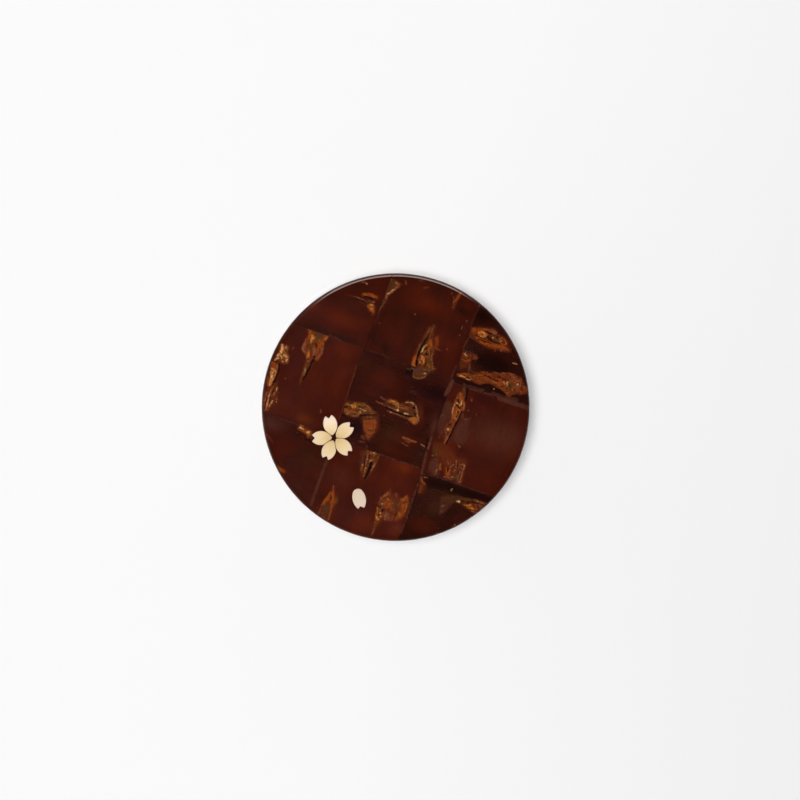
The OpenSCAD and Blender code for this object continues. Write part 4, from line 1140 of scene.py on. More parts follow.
    strokes(b, [
        ("pale", 0.8, 1.0, -33.9, 18.6, -33.8, 17.6, -34.2, 16.6), ("pale", 0.7, 0.95, -34.4, 16.2, -35.2, 15.5), ("pale", 0.7, 0.9, -35.2, 14.6, -35.9, 14.2), ("pale", 0.55, 0.95, -33.2, 15.9, -32.7, 14.9),
        ("pale", 0.5, 0.9, -34.3, 15.4, -34.0, 14.5), ("pale", 0.45, 0.9, -32.6, 18.2, -32.9, 17.5), ("pale", 0.5, 0.9, -32.3, 14.2, -32.7, 13.7),
    ])
    ground(b, (-36.9, 13.6, -36, 13.2, -35.2, 12.8, -35.0, 11.2, -35.4, 9.8, -36.0, 8.6, -36.6, 7.2, -37.2, 6, -38.1, 5.9, -38.3, 7, -37.9, 8.8, -37.6, 10.2, -37.3, 11.6), 70, "orange", 0.8, 0.5, 0.15, "gold", 0.4, 0.3, 84)
    strokes(b, [
        ("orange", 0.8, 0.9, -36.6, 13.3, -36.3, 12.2), ("tan", 0.45, 0.75, -35.3, 12.6, -35.2, 11.6, -35.4, 10.6), ("pale", 0.7, 1.0, -37.0, 11.6, -36.5, 11.3, -35.9, 10.7), ("pale", 0.8, 0.95, -36.4, 10.4, -36.9, 9.0), ("pale", 0.55, 0.95, -36.7, 8.2, -37.3, 6.9), ("gold", 0.9, 0.7, -36.9, 11.2, -36.2, 10.9),
        ("pale", 0.45, 0.85, -37.2, 10.9, -37.2, 9.5, -37.4, 8.1, -37.6, 7.0), ("gold", 0.6, 0.85, -35.9, 10.2, -36.3, 9.0, -36.8, 8.0, -37.3, 6.7), ("pale", 0.3, 0.75, -36.0, 9.9, -36.4, 8.9, -36.9, 7.8), ("orange", 0.5, 0.8, -36.7, 9.7),
        ("pale", 0.7, 0.85, -37.5, 6.6), ("orange", 0.5, 0.6, -38.0, 9, -38.2, 7.2),
        ("dark", (0.35, 0.5, 0.55, 0.45, 0.3), 0.95, -34.6, 12.9, -34.9, 11.3, -35.4, 9.5, -36.2, 7.7, -37.0, 5.9, -37.8, 4.3),
    ])
    patches(b, [("brown", 0.5, 0.75, -38.6, 5.4, -36.8, 6.8, -35.2, 6.0, -35.4, 2.6, -36.8, 0.6, -38.4, -1.0, -39.3, -1.2, -39.4, 2.0)])
    strokes(b, [
        ("gold", 0.5, 0.75, -36.0, 6.9, -36.4, 5.9, -36.8, 5.2), ("orange", 0.9, 0.7, -36.6, 6.0, -37.6, 3.4, -38.6, 0.2), ("tan", 0.6, 1.0, -35.3, 5.9, -35.6, 5.0, -36.0, 4.3, -36.5, 3.6), ("pale", 0.4, 0.8, -35.4, 5.7, -35.8, 4.6),
        ("dark", 0.3, 0.7, -35.9, 6.8, -36.7, 4.8, -37.4, 3.2, -37.9, 1.4), ("olive", 0.35, 0.7, -35.2, 7.6, -36.0, 5.8, -36.9, 3.6),
        ("dark", 0.25, 0.5, -36.2, 5.3, -36.9, 3.9), ("tan", 0.6, 1.0, -37.1, 4.9, -37.6, 4.0, -37.9, 3.0, -38.2, 1.6, -38.5, 0.2, -38.9, -1.0), ("pale", 0.4, 0.85, -37.6, 4.1, -38.0, 2.6, -38.5, 0.4),
        ("tan", 0.45, 0.85, -38.5, 4.4, -38.9, 2.7, -39.2, 1.0), ("tan", 0.35, 0.6, -37.0, 4.2, -37.2, 3.3), ("dark", 0.25, 0.5, -38.2, 3.6, -38.7, 1.4, -39.0, -0.2), ("pale", 0.5, 0.7, -36.8, 1.9, -37.1, 1.2), ("pale", 0.35, 0.7, -37.4, 0.8, -37.9, -0.3),
        ("tan", 0.35, 0.7, -37.2, 0.9, -37.7, -0.2, -38.2, -0.9), ("tan", 0.5, 0.85, -35.4, 2.9, -35.5, 2.3), ("pale", 0.4, 0.6, -35.6, 1.6), ("dark", 0.25, 0.45, -37.4, 2.8, -37.8, 1.0),
    ])
    patches(b, [("brown", 0.3, 0.4, -29, -5.4, -26, -5.8, -24.8, -7.4, -26, -8.4, -28, -7.0)])
    strokes(b, [("pale", 0.5, 0.6, -28.4, -5.5, -27.8, -5.7)])


def top_centre(b):
    cup(b)
    b.cloud("tone", (-10, 13.6), 4, 2.4, -20, -0.22)
    b.cloud("olive", (-10, 13.6), 4, 2.4, -20, 0.13)
    b.cloud("tone", (-3, 8), 6, 4, -20, 0.34)
    b.cloud("hue", (-3, 8), 6, 4, -20, 0.4)
    b.cloud("tone", (12.4, 4), 3, 7, 70, -0.55)
    b.cloud("hue", (12.4, 3), 3.4, 7, 70, -0.9)
    b.cloud("tone", (-12, -5.8), 2.3, 3.4, 0, -0.55)
    b.cloud("hue", (-11.4, -6.4), 2.4, 3.2, 0, -0.6)
    b.cloud("olive", (-1.5, -8), 5, 4, -20, 0.15)
    b.cloud("tone", (-1.5, -7.4), 5, 3, -20, -0.14)
    b.cloud("tone", (3, -9.8), 3.4, 1.6, -20, 0.45)
    b.cloud("hue", (3, -9.8), 4, 2, -20, 0.6)
    b.cloud("tone", (8.2, -14.6), 3.4, 2.6, -20, -0.35)
    b.cloud("olive", (8.2, -14.6), 3.4, 2.6, -20, 0.11)
    b.cloud("tone", (5, 9), 3, 4, 0, -0.2)
    b.cloud("hue", (5, 9), 3, 3, 0, -0.5)
    b.cloud("tone", (-7, 3.6), 4, 1.4, -20, 0.15)
    b.cloud("brown", (7.4, -1.6), 0.9, 3.4, 0, 0.55)
    b.cloud("haze", (11.6, -5.8), 1.2, 3.4, -10, 0.55)
    b.cloud("tone", (-2, -13), 5, 1.6, -20, 0.2)
    b.cloud("hue", (-2, -12.6), 5, 2, -20, 0.4)
    q = (-15.5, 0.2, -15.1, 1.2, -14.2, 1.7, -13, 1.6, -11.4, 1.5, -10, 1.3, -9, 0.9, -7.8, 0.2, -7, -0.6, -6.5, -1.2, -5.7, -1.8, -7, -2.1, -8.6, -1.9, -9.6, -2.1, -10.6, -2.4, -11.6, -2.9, -12.8, -2.8, -14, -2.4, -15.5, -1.5)
    ground(b, q, -18, "olive", 0.85, 0.45, 0.15, "gold", 0.55, 0.3, 91)
    strokes(b, [
        ("gold", (0.9, 1.2, 0.9), 0.75, -13.6, 0.8, -12.4, 0.3, -11.4, -0.4), ("pale", 0.5, 0.7, -13.2, 0.6, -12.9, 0.0), ("pale", 0.5, 0.65, -12.0, 0.2, -11.9, -0.5), ("orange", 1.0, 0.85, -15.0, -0.9, -14.0, -1.3, -12.8, -1.2),
        ("tan", 0.55, 0.85, -14.9, -1.8, -13.5, -2.2, -12.2, -2.6, -11.1, -2.4), ("tan", 0.35, 0.6, -14.4, -1.6, -12.8, -1.9), ("pale", 0.32, 0.7, -10.7, -0.4, -9.7, -0.8, -8.8, -1.2), ("pale", 0.55, 0.85, -10.6, -1.3, -10.4, -1.7),
        ("orange", 0.35, 0.8, -10.2, -1.0, -9.2, -1.6), ("olive", 0.7, 0.7, -9.0, 0.6, -8, -0.3, -7.2, -1.0), ("gold", 0.35, 0.55, -9.6, 0.9, -8.4, 0.2, -7.4, -0.7), ("dark", 0.75, 0.75, -14.6, 0.2), ("dark", 0.4, 0.5, -13.7, 1.3, -12.8, 1.2),
        ("gold", 0.35, 0.6, -11.2, 1.0, -10.0, 0.6), ("dark", 0.25, 0.4, -10.9, 0.3, -9.4, -0.1), ("olive", 0.6, 0.8, -8.4, -1.7, -6.2, -1.7), ("haze", 0.4, 0.7, -9.6, -1.9, -8.4, -1.8), ("gold", 0.4, 0.6, -15.1, 0.9, -14.2, 1.2),
        ("dark", 0.45, 0.9, -10.6, -2.3, -9, -2.35, -7.4, -2.4, -6.0, -2.3), ("dark", 0.5, 0.7, -10.1, -2.7), ("brown", 0.35, 0.6, -6.0, -2.3, -5.0, -2.3),
    ])
    patches(b, [
        ("brown", 0.45, 0.6, -10, -2.7, -5.4, -2.6, -5.0, -6, -6.2, -8.2, -8.2, -9.8, -9.4, -8, -9.8, -5),
        ("olive", 0.25, 0.7, -9.4, -2.7, -6.1, -2.7, -6.2, -3.9, -9.3, -4.0), ("haze", 0.25, 0.5, -9.3, -2.8, -6.4, -2.8, -6.4, -3.6, -9.2, -3.8),
        ("orange", 0.25, 0.8, -9.3, -4, -6, -3.9, -5.8, -5.5, -6.2, -7, -6.6, -7.8, -8.4, -8, -9.2, -7, -9.5, -5.5), ("orange", 0.3, 0.6, -9, -8, -7.0, -8, -8.2, -9.6),
    ])
    strokes(b, [
        ("tan", 0.28, 0.6, -9.5, -3.6, -9.5, -5.6, -9.0, -7.2, -8.2, -7.9, -7.2, -8.0, -6.3, -7.6), ("dark", 0.5, 0.55, -8.0, -3.4), ("dark", 0.35, 0.4, -6.9, -3.2), ("gold", 0.3, 0.5, -8.6, -3.0, -7.0, -3.0),
        ("tan", 0.3, 0.6, -8.0, -5.2, -7.0, -5.6, -6.0, -5.6), ("tan", 0.28, 0.5, -8.2, -4.4, -6.8, -4.4), ("olive", 0.8, 0.75, -8.0, -6.9, -6.7, -7.0), ("gold", 0.3, 0.6, -8.0, -6.3, -6.6, -6.4), ("dark", 0.35, 0.4, -7.6, -7.0),
        ("haze", 0.9, 0.75, -9.9, -8.8, -9.5, -9.4), ("haze", 0.6, 0.7, -11.0, -10.2, -9.4, -10.5), ("tan", 0.4, 0.5, -10.4, -10.3), ("tan", 0.35, 0.4, -9.8, -9.0), ("haze", 0.4, 0.5, -13.2, -10.6, -12.2, -11.0),
        ("haze", 0.7, 0.4, -8.6, -11.5, -8.8, -13),
    ])
    q = (-2.7, 2.3, -1.2, 2.5, 0.2, 2.0, 1.2, 1.3, 2.6, 1.4, 3.4, 1.8, 4.4, 1.7, 5.6, 1.1, 6.4, 0.2, 6.8, -1.4, 7.1, -3, 6.9, -4, 6.3, -5.1, 5.4, -5.1, 4.4, -4.3, 3.4, -3.6, 1.6, -2.7, 0.0, -1.9, -1.0, -1.2, -0.4, -0.6,
         -1.4, 0.1, -2.6, 0.6, -3.2, 1.4)
    ground(b, q, -25, "olive", 0.75, 0.5, 0.12, "brown", 0.4, 0.3, 101)
    patches(b, [
        ("gold", 0.25, 0.65, -2.5, 2.0, -1.2, 2.2, 0.2, 1.8, 1.0, 1.1, 1.1, 0.3, 0.5, -0.2, -0.2, 0.6, -1.2, 1.1, -2.2, 1.5), ("brown", 0.25, 0.7, 1.5, 0.9, 3.0, 1.0, 4.6, 0.8, 5.6, -0.2, 5.2, -1.6, 3.4, -1.4, 1.6, -0.8),
        ("gold", 0.22, 0.75, 4.0, -3.4, 5.4, -3.1, 6.4, -3.5, 6.6, -4.5, 6.1, -5.1, 5.2, -4.8), ("orange", 0.2, 0.6, 5.4, -4.0, 6.5, -4.2, 6.2, -5.0, 5.5, -4.9),
    ])
    strokes(b, [
        ("haze", 0.5, 0.9, -4.4, 3.0, -3.7, 2.5, -2.6, 2.1), ("tan", 0.25, 0.5, -4.3, 2.9, -3.4, 2.4), ("tan", 0.42, 0.8, -5.8, 1.7, -4.5, 1.2, -3.1, 0.5, -1.8, 0.0, -0.6, -0.5, 0.2, -0.9),
        ("tan", 0.42, 0.85, -2.3, -1.1, -1.4, -1.45, -0.4, -1.9), ("tan", 0.32, 0.75, -0.4, -1.9, 1.2, -2.5, 2.8, -3.1, 4.0, -3.7), ("pale", 0.3, 0.6, -1.9, -1.25, -1.1, -1.6),
        ("gold", 0.6, 0.7, -1.2, 1.9, -0.2, 1.5, 0.6, 0.8), ("pale", 0.35, 0.4, -1.0, 1.9, 0.0, 1.4), ("dark", 0.35, 0.55, -2.1, 1.1, -1.2, 0.7, -0.4, 0.3), ("pale", 0.75, 0.95, 0.6, -0.9), ("pale", 0.35, 0.7, 0.8, -0.4, 1.0, 0.1),
        ("dark", 0.4, 0.85, -3.0, -0.1, -1.4, -0.8, 0.2, -1.55, 1.4, -2.0), ("dark", 0.45, 0.9, 1.4, -1.9, 3.0, -2.45, 4.8, -2.75),
        ("tan", 0.5, 0.9, 2.9, 1.45, 4.0, 1.5, 5.0, 1.15, 5.9, 0.4, 6.2, -0.6), ("pale", 0.28, 0.7, 3.2, 1.5, 4.4, 1.35, 5.6, 0.7, 6.1, -0.1), ("tan", 0.55, 0.9, 6.2, -0.8, 6.4, -2.0, 6.8, -3.2, 6.7, -4.1), ("pale", 0.28, 0.65, 6.3, -1.0, 6.5, -2.3, 6.8, -3.4),
        ("tan", 0.32, 0.7, 1.5, 0.5, 2.8, 0.3, 4.0, -0.3), ("orange", 0.6, 0.8, 1.5, -0.2, 2.8, -0.4, 3.6, -0.8), ("gold", 0.3, 0.5, 1.8, -0.1, 3.0, -0.5), ("haze", 0.7, 0.95, 2.2, -1.0, 3.0, -1.15), ("haze", 0.8, 0.9, 4.3, -1.1, 5.0, -1.6),
        ("pale", 0.5, 0.85, 2.6, -1.8, 3.7, -2.15), ("dark", 0.75, 0.75, 5.4, -0.2), ("dark", 0.3, 0.6, 2.6, 0.8, 4.0, 0.5), ("olive", 0.5, 0.7, 5.3, 0.4), ("dark", 0.35, 0.6, 5.6, -1.6, 6.0, -2.6), ("dark", 0.3, 0.5, 1.4, -1.3, 2.4, -1.6),
        ("olive", 0.5, 0.7, 4.2, -2.2, 5.2, -2.5), ("pale", 0.35, 0.5, 5.6, -4.4), ("haze", 0.5, 0.8, -3.4, -2.5), ("dark", 0.4, 0.4, -2.7, -2.5),
        ("orange", 0.6, 0.6, 2.2, -9.1, 3.4, -9.5, 4.7, -10.0, 6.0, -10.4), ("tan", 0.32, 0.8, 2.2, -9.0, 3.4, -9.35, 4.7, -9.9, 6.0, -10.35), ("orange", 0.45, 0.6, 3.0, -10.1, 4.2, -10.6), ("dark", 0.25, 0.4, 2.0, -9.7, 3.4, -10.0),
        ("tan", 0.25, 0.6, 1.3, -10.4, 2.4, -10.9, 3.6, -11.6), ("pale", 0.45, 0.8, 7.8, -11.2, 8.6, -11.7), ("haze", 0.4, 0.8, 7.4, -11.1, 8.9, -11.9), ("dark", 0.5, 0.5, 9.3, -9.4, 9.1, -11.6),
    ])


def top_east(b):
    b.cloud("tone", (26, 2.6), 3.4, 1.8, -20, -0.34)
    b.cloud("hue", (25.6, 2.4), 3.4, 2.2, -20, -0.5)
    b.cloud("haze", (31, -9), 6, 10, 80, 0.55)
    b.cloud("tone", (33.5, -12), 4, 9, 80, 0.16)
    b.cloud("tone", (26, -9), 5, 7, 70, 0.1)
    b.cloud("hue", (27, -10), 6, 7, 70, 0.5)
    b.cloud("tone", (15.6, -12.4), 3.6, 2.6, -20, 0.45)
    b.cloud("hue", (15.6, -12.4), 4, 3, -20, 0.7)
    b.cloud("tone", (19.6, -12.6), 2.0, 1.2, -20, -0.4)
    b.cloud("tone", (23.5, -3.4), 3, 2.4, 0, -0.1)
    b.cloud("haze", (18.4, -8.4), 3, 3.6, 70, 0.35)
    b.cloud("tone", (26.5, -21.5), 3, 3, 0, 0.1)
    b.cloud("hue", (30, -18), 4, 4, 0, 0.3)
    b.cloud("tone", (31, 0.2), 4, 1.6, -20, -0.08)
    patches(b, [
        ("haze", 0.6, 0.55, 14.2, 1.4, 16.6, 1.4, 16.9, -0.6, 16.6, -3, 16, -4.6, 15.4, -7, 14.6, -9, 13.0, -8, 12.4, -5, 13.2, -2.4, 14.0, -0.8),
        ("haze", 0.6, 0.5, 18.9, -4.8, 21.8, -3.4, 21.6, -7.4, 20.6, -10.6, 18.2, -10.8, 17.4, -8.4), ("olive", 0.4, 0.4, 15.2, 1.6, 16.8, 1.4, 16.8, -0.4, 15.4, -0.2),
        ("brown", 0.6, 0.6, 11.2, -10.4, 14.8, -11.2, 16.6, -13.2, 18.4, -15, 21, -15.2, 20.8, -17, 13.4, -17, 11.6, -13.6), ("orange", 0.8, 0.12, 13.0, -12.6, 16.4, -13.4, 18.0, -15.4, 14, -16),
        ("olive", 0.5, 0.45, 11.2, -11.6, 13.2, -12, 13.2, -14.4, 11.2, -14.6), ("haze", 0.4, 0.7, 10.8, -15.6, 12.9, -15.6, 13.2, -18, 12.6, -20.4, 10.2, -19.6, 9.9, -17.6),
    ])
    q = (14.5, -10.9, 14.6, -9.4, 15, -7.8, 15, -6.4, 15.5, -4.6, 16.6, -3.8, 16.7, -2.6, 16.7, -1, 17.2, 0.6, 18.0, 2.2, 18.5, 3.8, 19.2, 4.5, 20.0, 4.0, 20.5, 2.4, 20.7, 0.8, 20.4, -0.6, 19.8, -1.8, 19.2, -3.2, 18.4, -4.8,
         17.4, -6.6, 16.4, -8.6, 15.2, -10.9)
    ground(b, q, 70, "orange", 0.75, 0.55, 0.2, "olive", 0.4, 0.3, 111)
    strokes(b, [
        ("gold", (0.5, 0.9, 0.6), 0.75, 19.2, 4.2, 19.2, 3.2, 19.4, 2.4), ("orange", 0.5, 0.8, 19.6, 3.6, 19.8, 2.8), ("olive", 0.8, 0.75, 20.3, 5.6, 20.4, 4.2, 20.5, 3.0), ("dark", (0.55, 0.6, 0.4), 0.95, 21.5, 5.6, 21.2, 3.7, 20.9, 1.9),
        ("tan", 0.5, 0.85, 18.5, 2.9, 17.9, 1.5, 17.4, 0.4, 17.0, -0.8, 16.9, -2.0, 17.0, -3.2), ("pale", 0.25, 0.5, 17.8, 1.3, 17.2, -0.2, 17.0, -1.8), ("pale", 0.5, 0.85, 18.4, 1.15), ("pale", (0.5, 0.7, 0.4), 0.95, 19.1, 0.5, 19.6, 1.0, 19.9, 1.9),
        ("gold", 0.38, 0.85, 20.1, 1.8, 20.4, 0.9, 20.4, -0.2, 19.9, -0.8), ("pale", 0.3, 0.5, 20.4, 0.6, 20.3, -0.2), ("dark", 0.4, 0.9, 18.1, 0.7, 18.7, 0.1, 19.3, -0.6), ("dark", 0.45, 0.8, 18.4, 2.2, 18.8, 1.5), ("dark", 0.3, 0.6, 20.0, 1.2, 19.9, 0.2),
        ("gold", 0.34, 0.95, 17.5, -1.4, 17.7, -0.6, 18.3, -0.4, 19.0, -0.8, 19.1, -1.6, 18.7, -2.7, 18.1, -3.8, 17.8, -3.6, 17.5, -2.4, 17.5, -1.4), ("orange", 0.9, 0.85, 18.1, -1.2, 18.1, -2.4), ("gold", 0.6, 0.85, 18.1, -1.3, 18.1, -1.9),
        ("dark", 0.28, 0.7, 18.6, -1.2, 18.6, -2.0, 18.2, -2.9), ("pale", 0.3, 0.55, 18.0, -3.1, 18.1, -3.8), ("tan", 0.38, 0.85, 19.5, -0.9, 19.3, -1.8, 18.7, -2.9, 18.3, -4.0),
        ("dark", (0.55, 0.6, 0.55, 0.5, 0.4), 0.95, 19.7, -1.5, 19.1, -2.8, 18.5, -4.1, 17.9, -5.2, 17.2, -6.6, 16.6, -8.0, 15.8, -9.5, 15.0, -11.0),
        ("haze", 0.6, 0.95, 20.0, -2.1, 20.0, -3.4), ("haze", 0.4, 0.9, 20.0, -2.5),
        ("tan", 0.32, 0.75, 16.6, -3.7, 17.1, -4.6, 17.0, -5.6, 16.6, -6.5, 15.9, -6.9), ("dark", 0.65, 0.75, 16.2, -5.2), ("dark", 0.35, 0.6, 15.7, -4.3, 15.6, -5.6), ("pale", 0.7, 0.9, 15.6, -6.6), ("tan", 0.35, 0.7, 16.0, -7.0, 16.5, -6.6),
        ("tan", 0.4, 0.8, 15.0, -7.6, 15.3, -8.7, 15.0, -9.7, 14.6, -10.7), ("tan", 0.3, 0.7, 16.0, -7.7, 15.6, -8.8, 15.3, -9.6), ("dark", 0.3, 0.55, 15.7, -7.6, 15.2, -8.6), ("tan", 0.3, 0.5, 14.5, -6.0, 14.8, -7.0),
        ("tan", 0.28, 0.5, 20.6, -3.7, 22.4, -3.4), ("tan", 0.5, 0.75, 21.7, -1.0), ("tan", 0.5, 0.4, 24.1, -2.2), ("dark", 0.6, 0.5, 24.9, -2.2), ("tan", 0.6, 0.6, 22.6, 2.8, 22.8, 1.9), ("orange", 0.7, 0.4, 22.6, 2.2),
        ("haze", 0.5, 0.6, 21.8, -8.0), ("haze", 0.4, 0.6, 22.8, -6.5, 22.8, -7.2), ("haze", 0.35, 0.6, 24.4, -9.2, 24.6, -9.9), ("haze", 0.35, 0.7, 13.3, 2.7, 14.2, 2.7), ("brown", 0.45, 0.6, 16.1, 1.6, 16.6, 1.4), ("dark", 0.4, 0.6, 16.4, 1.5),
        ("tan", 0.3, 0.6, 13.3, -2.6, 14.1, -2.5), ("tan", 0.7, 0.5, 18.7, -11.4, 19.2, -11.9), ("tan", 0.4, 0.5, 13.0, -8.9), ("dark", 0.45, 0.4, 12.0, -9.0),
        ("tan", 0.6, 0.75, 10.9, -14.4, 11.2, -14.5), ("tan", 0.3, 0.6, 12.1, -13.9, 12.1, -14.6), ("olive", 0.35, 0.6, 10.9, -15.4, 12.1, -15.4),
        ("tan", 0.5, 0.65, 12.4, -17.1, 12.2, -18.2, 12.1, -19.0), ("orange", 0.8, 0.6, 13.3, -17.0, 13.3, -18.5), ("gold", 0.4, 0.5, 13.3, -17.2, 13.3, -18.2), ("tan", 0.6, 0.7, 12.2, -19.2, 11.9, -20.0), ("pale", 0.3, 0.4, 12.2, -18.8),
    ])
    patches(b, [("brown", 0.5, 0.8, 14.8, -16.0, 20.8, -16.4, 20.7, -18.6, 19.8, -22.4, 18, -22.8, 17.6, -21, 14.8, -20.8), ("brown", 0.3, 0.4, 17.2, -18.8, 18.4, -18.8, 18.2, -21, 17.4, -21)])
    strokes(b, [
        ("tan", 0.3, 0.6, 15.5, -16, 15.7, -17.2), ("tan", 0.3, 0.65, 16.3, -15.9, 16.5, -17.0), ("tan", 0.38, 0.75, 18.1, -15.8, 18.1, -17.2, 17.8, -18.4, 17.0, -19.4), ("tan", 0.3, 0.55, 19.4, -15.9, 19.2, -16.6),
        ("tan", 0.5, 0.8, 16.7, -17.3, 16.3, -18.3, 16.0, -19.2), ("gold", 0.6, 0.6, 17.2, -17.3), ("orange", 0.9, 0.9, 16.0, -19.4, 15.8, -20.2), ("tan", 0.5, 0.5, 15.8, -19.8), ("orange", 0.6, 0.85, 15.2, -18.2, 15.1, -19.4, 15.4, -20.4),
        ("dark", 0.4, 0.6, 15.5, -18.2, 15.5, -19.2), ("dark", 0.3, 0.6, 18.6, -17.0, 18.4, -17.9), ("tan", 0.3, 0.6, 19.0, -17.0, 18.9, -18.0),
        ("tan", 0.5, 0.85, 19.4, -17.3, 20.1, -17.0, 20.6, -17.4, 20.4, -18.1, 20.0, -19.0, 19.9, -20.0, 19.4, -21.1, 19.2, -22.0), ("pale", 0.4, 0.6, 20.4, -17.4), ("tan", 0.45, 0.8, 19.5, -18.2, 19.1, -19.4, 18.7, -20.5, 18.4, -21.8),
        ("tan", 0.38, 0.75, 19.6, -19.6, 19.2, -20.6, 19.0, -22.2), ("dark", 0.3, 0.6, 19.2, -18.6, 18.7, -19.8), ("dark", 0.28, 0.55, 19.4, -20.0, 18.9, -21.2), ("olive", 0.8, 0.85, 17.5, -19.5, 17.6, -20.4, 17.9, -21.0), ("dark", 0.4, 0.5, 17.5, -19.7),
        ("tan", 0.45, 0.8, 14.4, -20.8, 15.4, -21.0, 16.6, -20.8, 17.3, -21.0), ("tan", 0.35, 0.7, 14.6, -21.4, 16.0, -21.4, 17.2, -21.6), ("tan", 0.5, 0.4, 18.4, -22.2, 19.4, -22.5),
    ])


def top_south_west(b):
    b.cloud("haze", (-37, -5), 2.4, 4.5, 80, 0.5)
    b.cloud("hue", (-37, -6), 3, 5, 80, -0.5)
    b.cloud("olive", (-25.4, -15.5), 4, 5, 70, 0.14)
    b.cloud("tone", (-25, -14), 4, 4, 70, -0.2)
    b.cloud("tone", (-22.6, -20.5), 1.6, 5, 72, 0.34)
    b.cloud("tone", (-33.4, -12.5), 4, 3, 70, 0.2)
    b.cloud("hue", (-33, -13), 4, 4, 70, 0.5)
    b.cloud("tone", (-28, -22), 3, 4, 70, 0.08)
    b.cloud("tone", (-30, -7.5), 3, 1.6, -20, -0.2)
    b.cloud("olive", (-30, -25), 3, 3, 0, 0.09)
    patches(b, [("orange", 0.2, 0.85, -35.4, -17.2, -34.4, -18, -32.6, -19.3, -34.2, -19.4)])
    strokes(b, [("gold", 0.4, 0.7, -34.5, -18.4), ("brown", 0.6, 0.6, -38.5, -8.1, -37.6, -9.2, -36.7, -10.4), ("tan", 0.3, 0.35, -38.4, -8.2, -37.4, -9.4),
                ("orange", 1.6, 0.6, -28.4, -6.2, -27.0, -7.0, -25.6, -7.6), ("dark", 1.2, 0.55, -26.6, -9.4, -25.0, -10.2), ("pale", (0.9, 0.6), 0.95, -28.4, -6.1, -27.4, -6.6), ("pale", 0.4, 0.6, -28.2, -6.0),
                ("orange", 0.8, 0.9, -27.0, -7.3, -26.4, -7.6), ("pale", 0.8, 0.95, -26.3, -7.5, -25.8, -7.5), ("gold", 1.0, 0.8, -25.9, -8.2), ("orange", 0.8, 0.8, -26.2, -8.9), ("olive", 0.9, 0.5, -25.2, -9.2)])


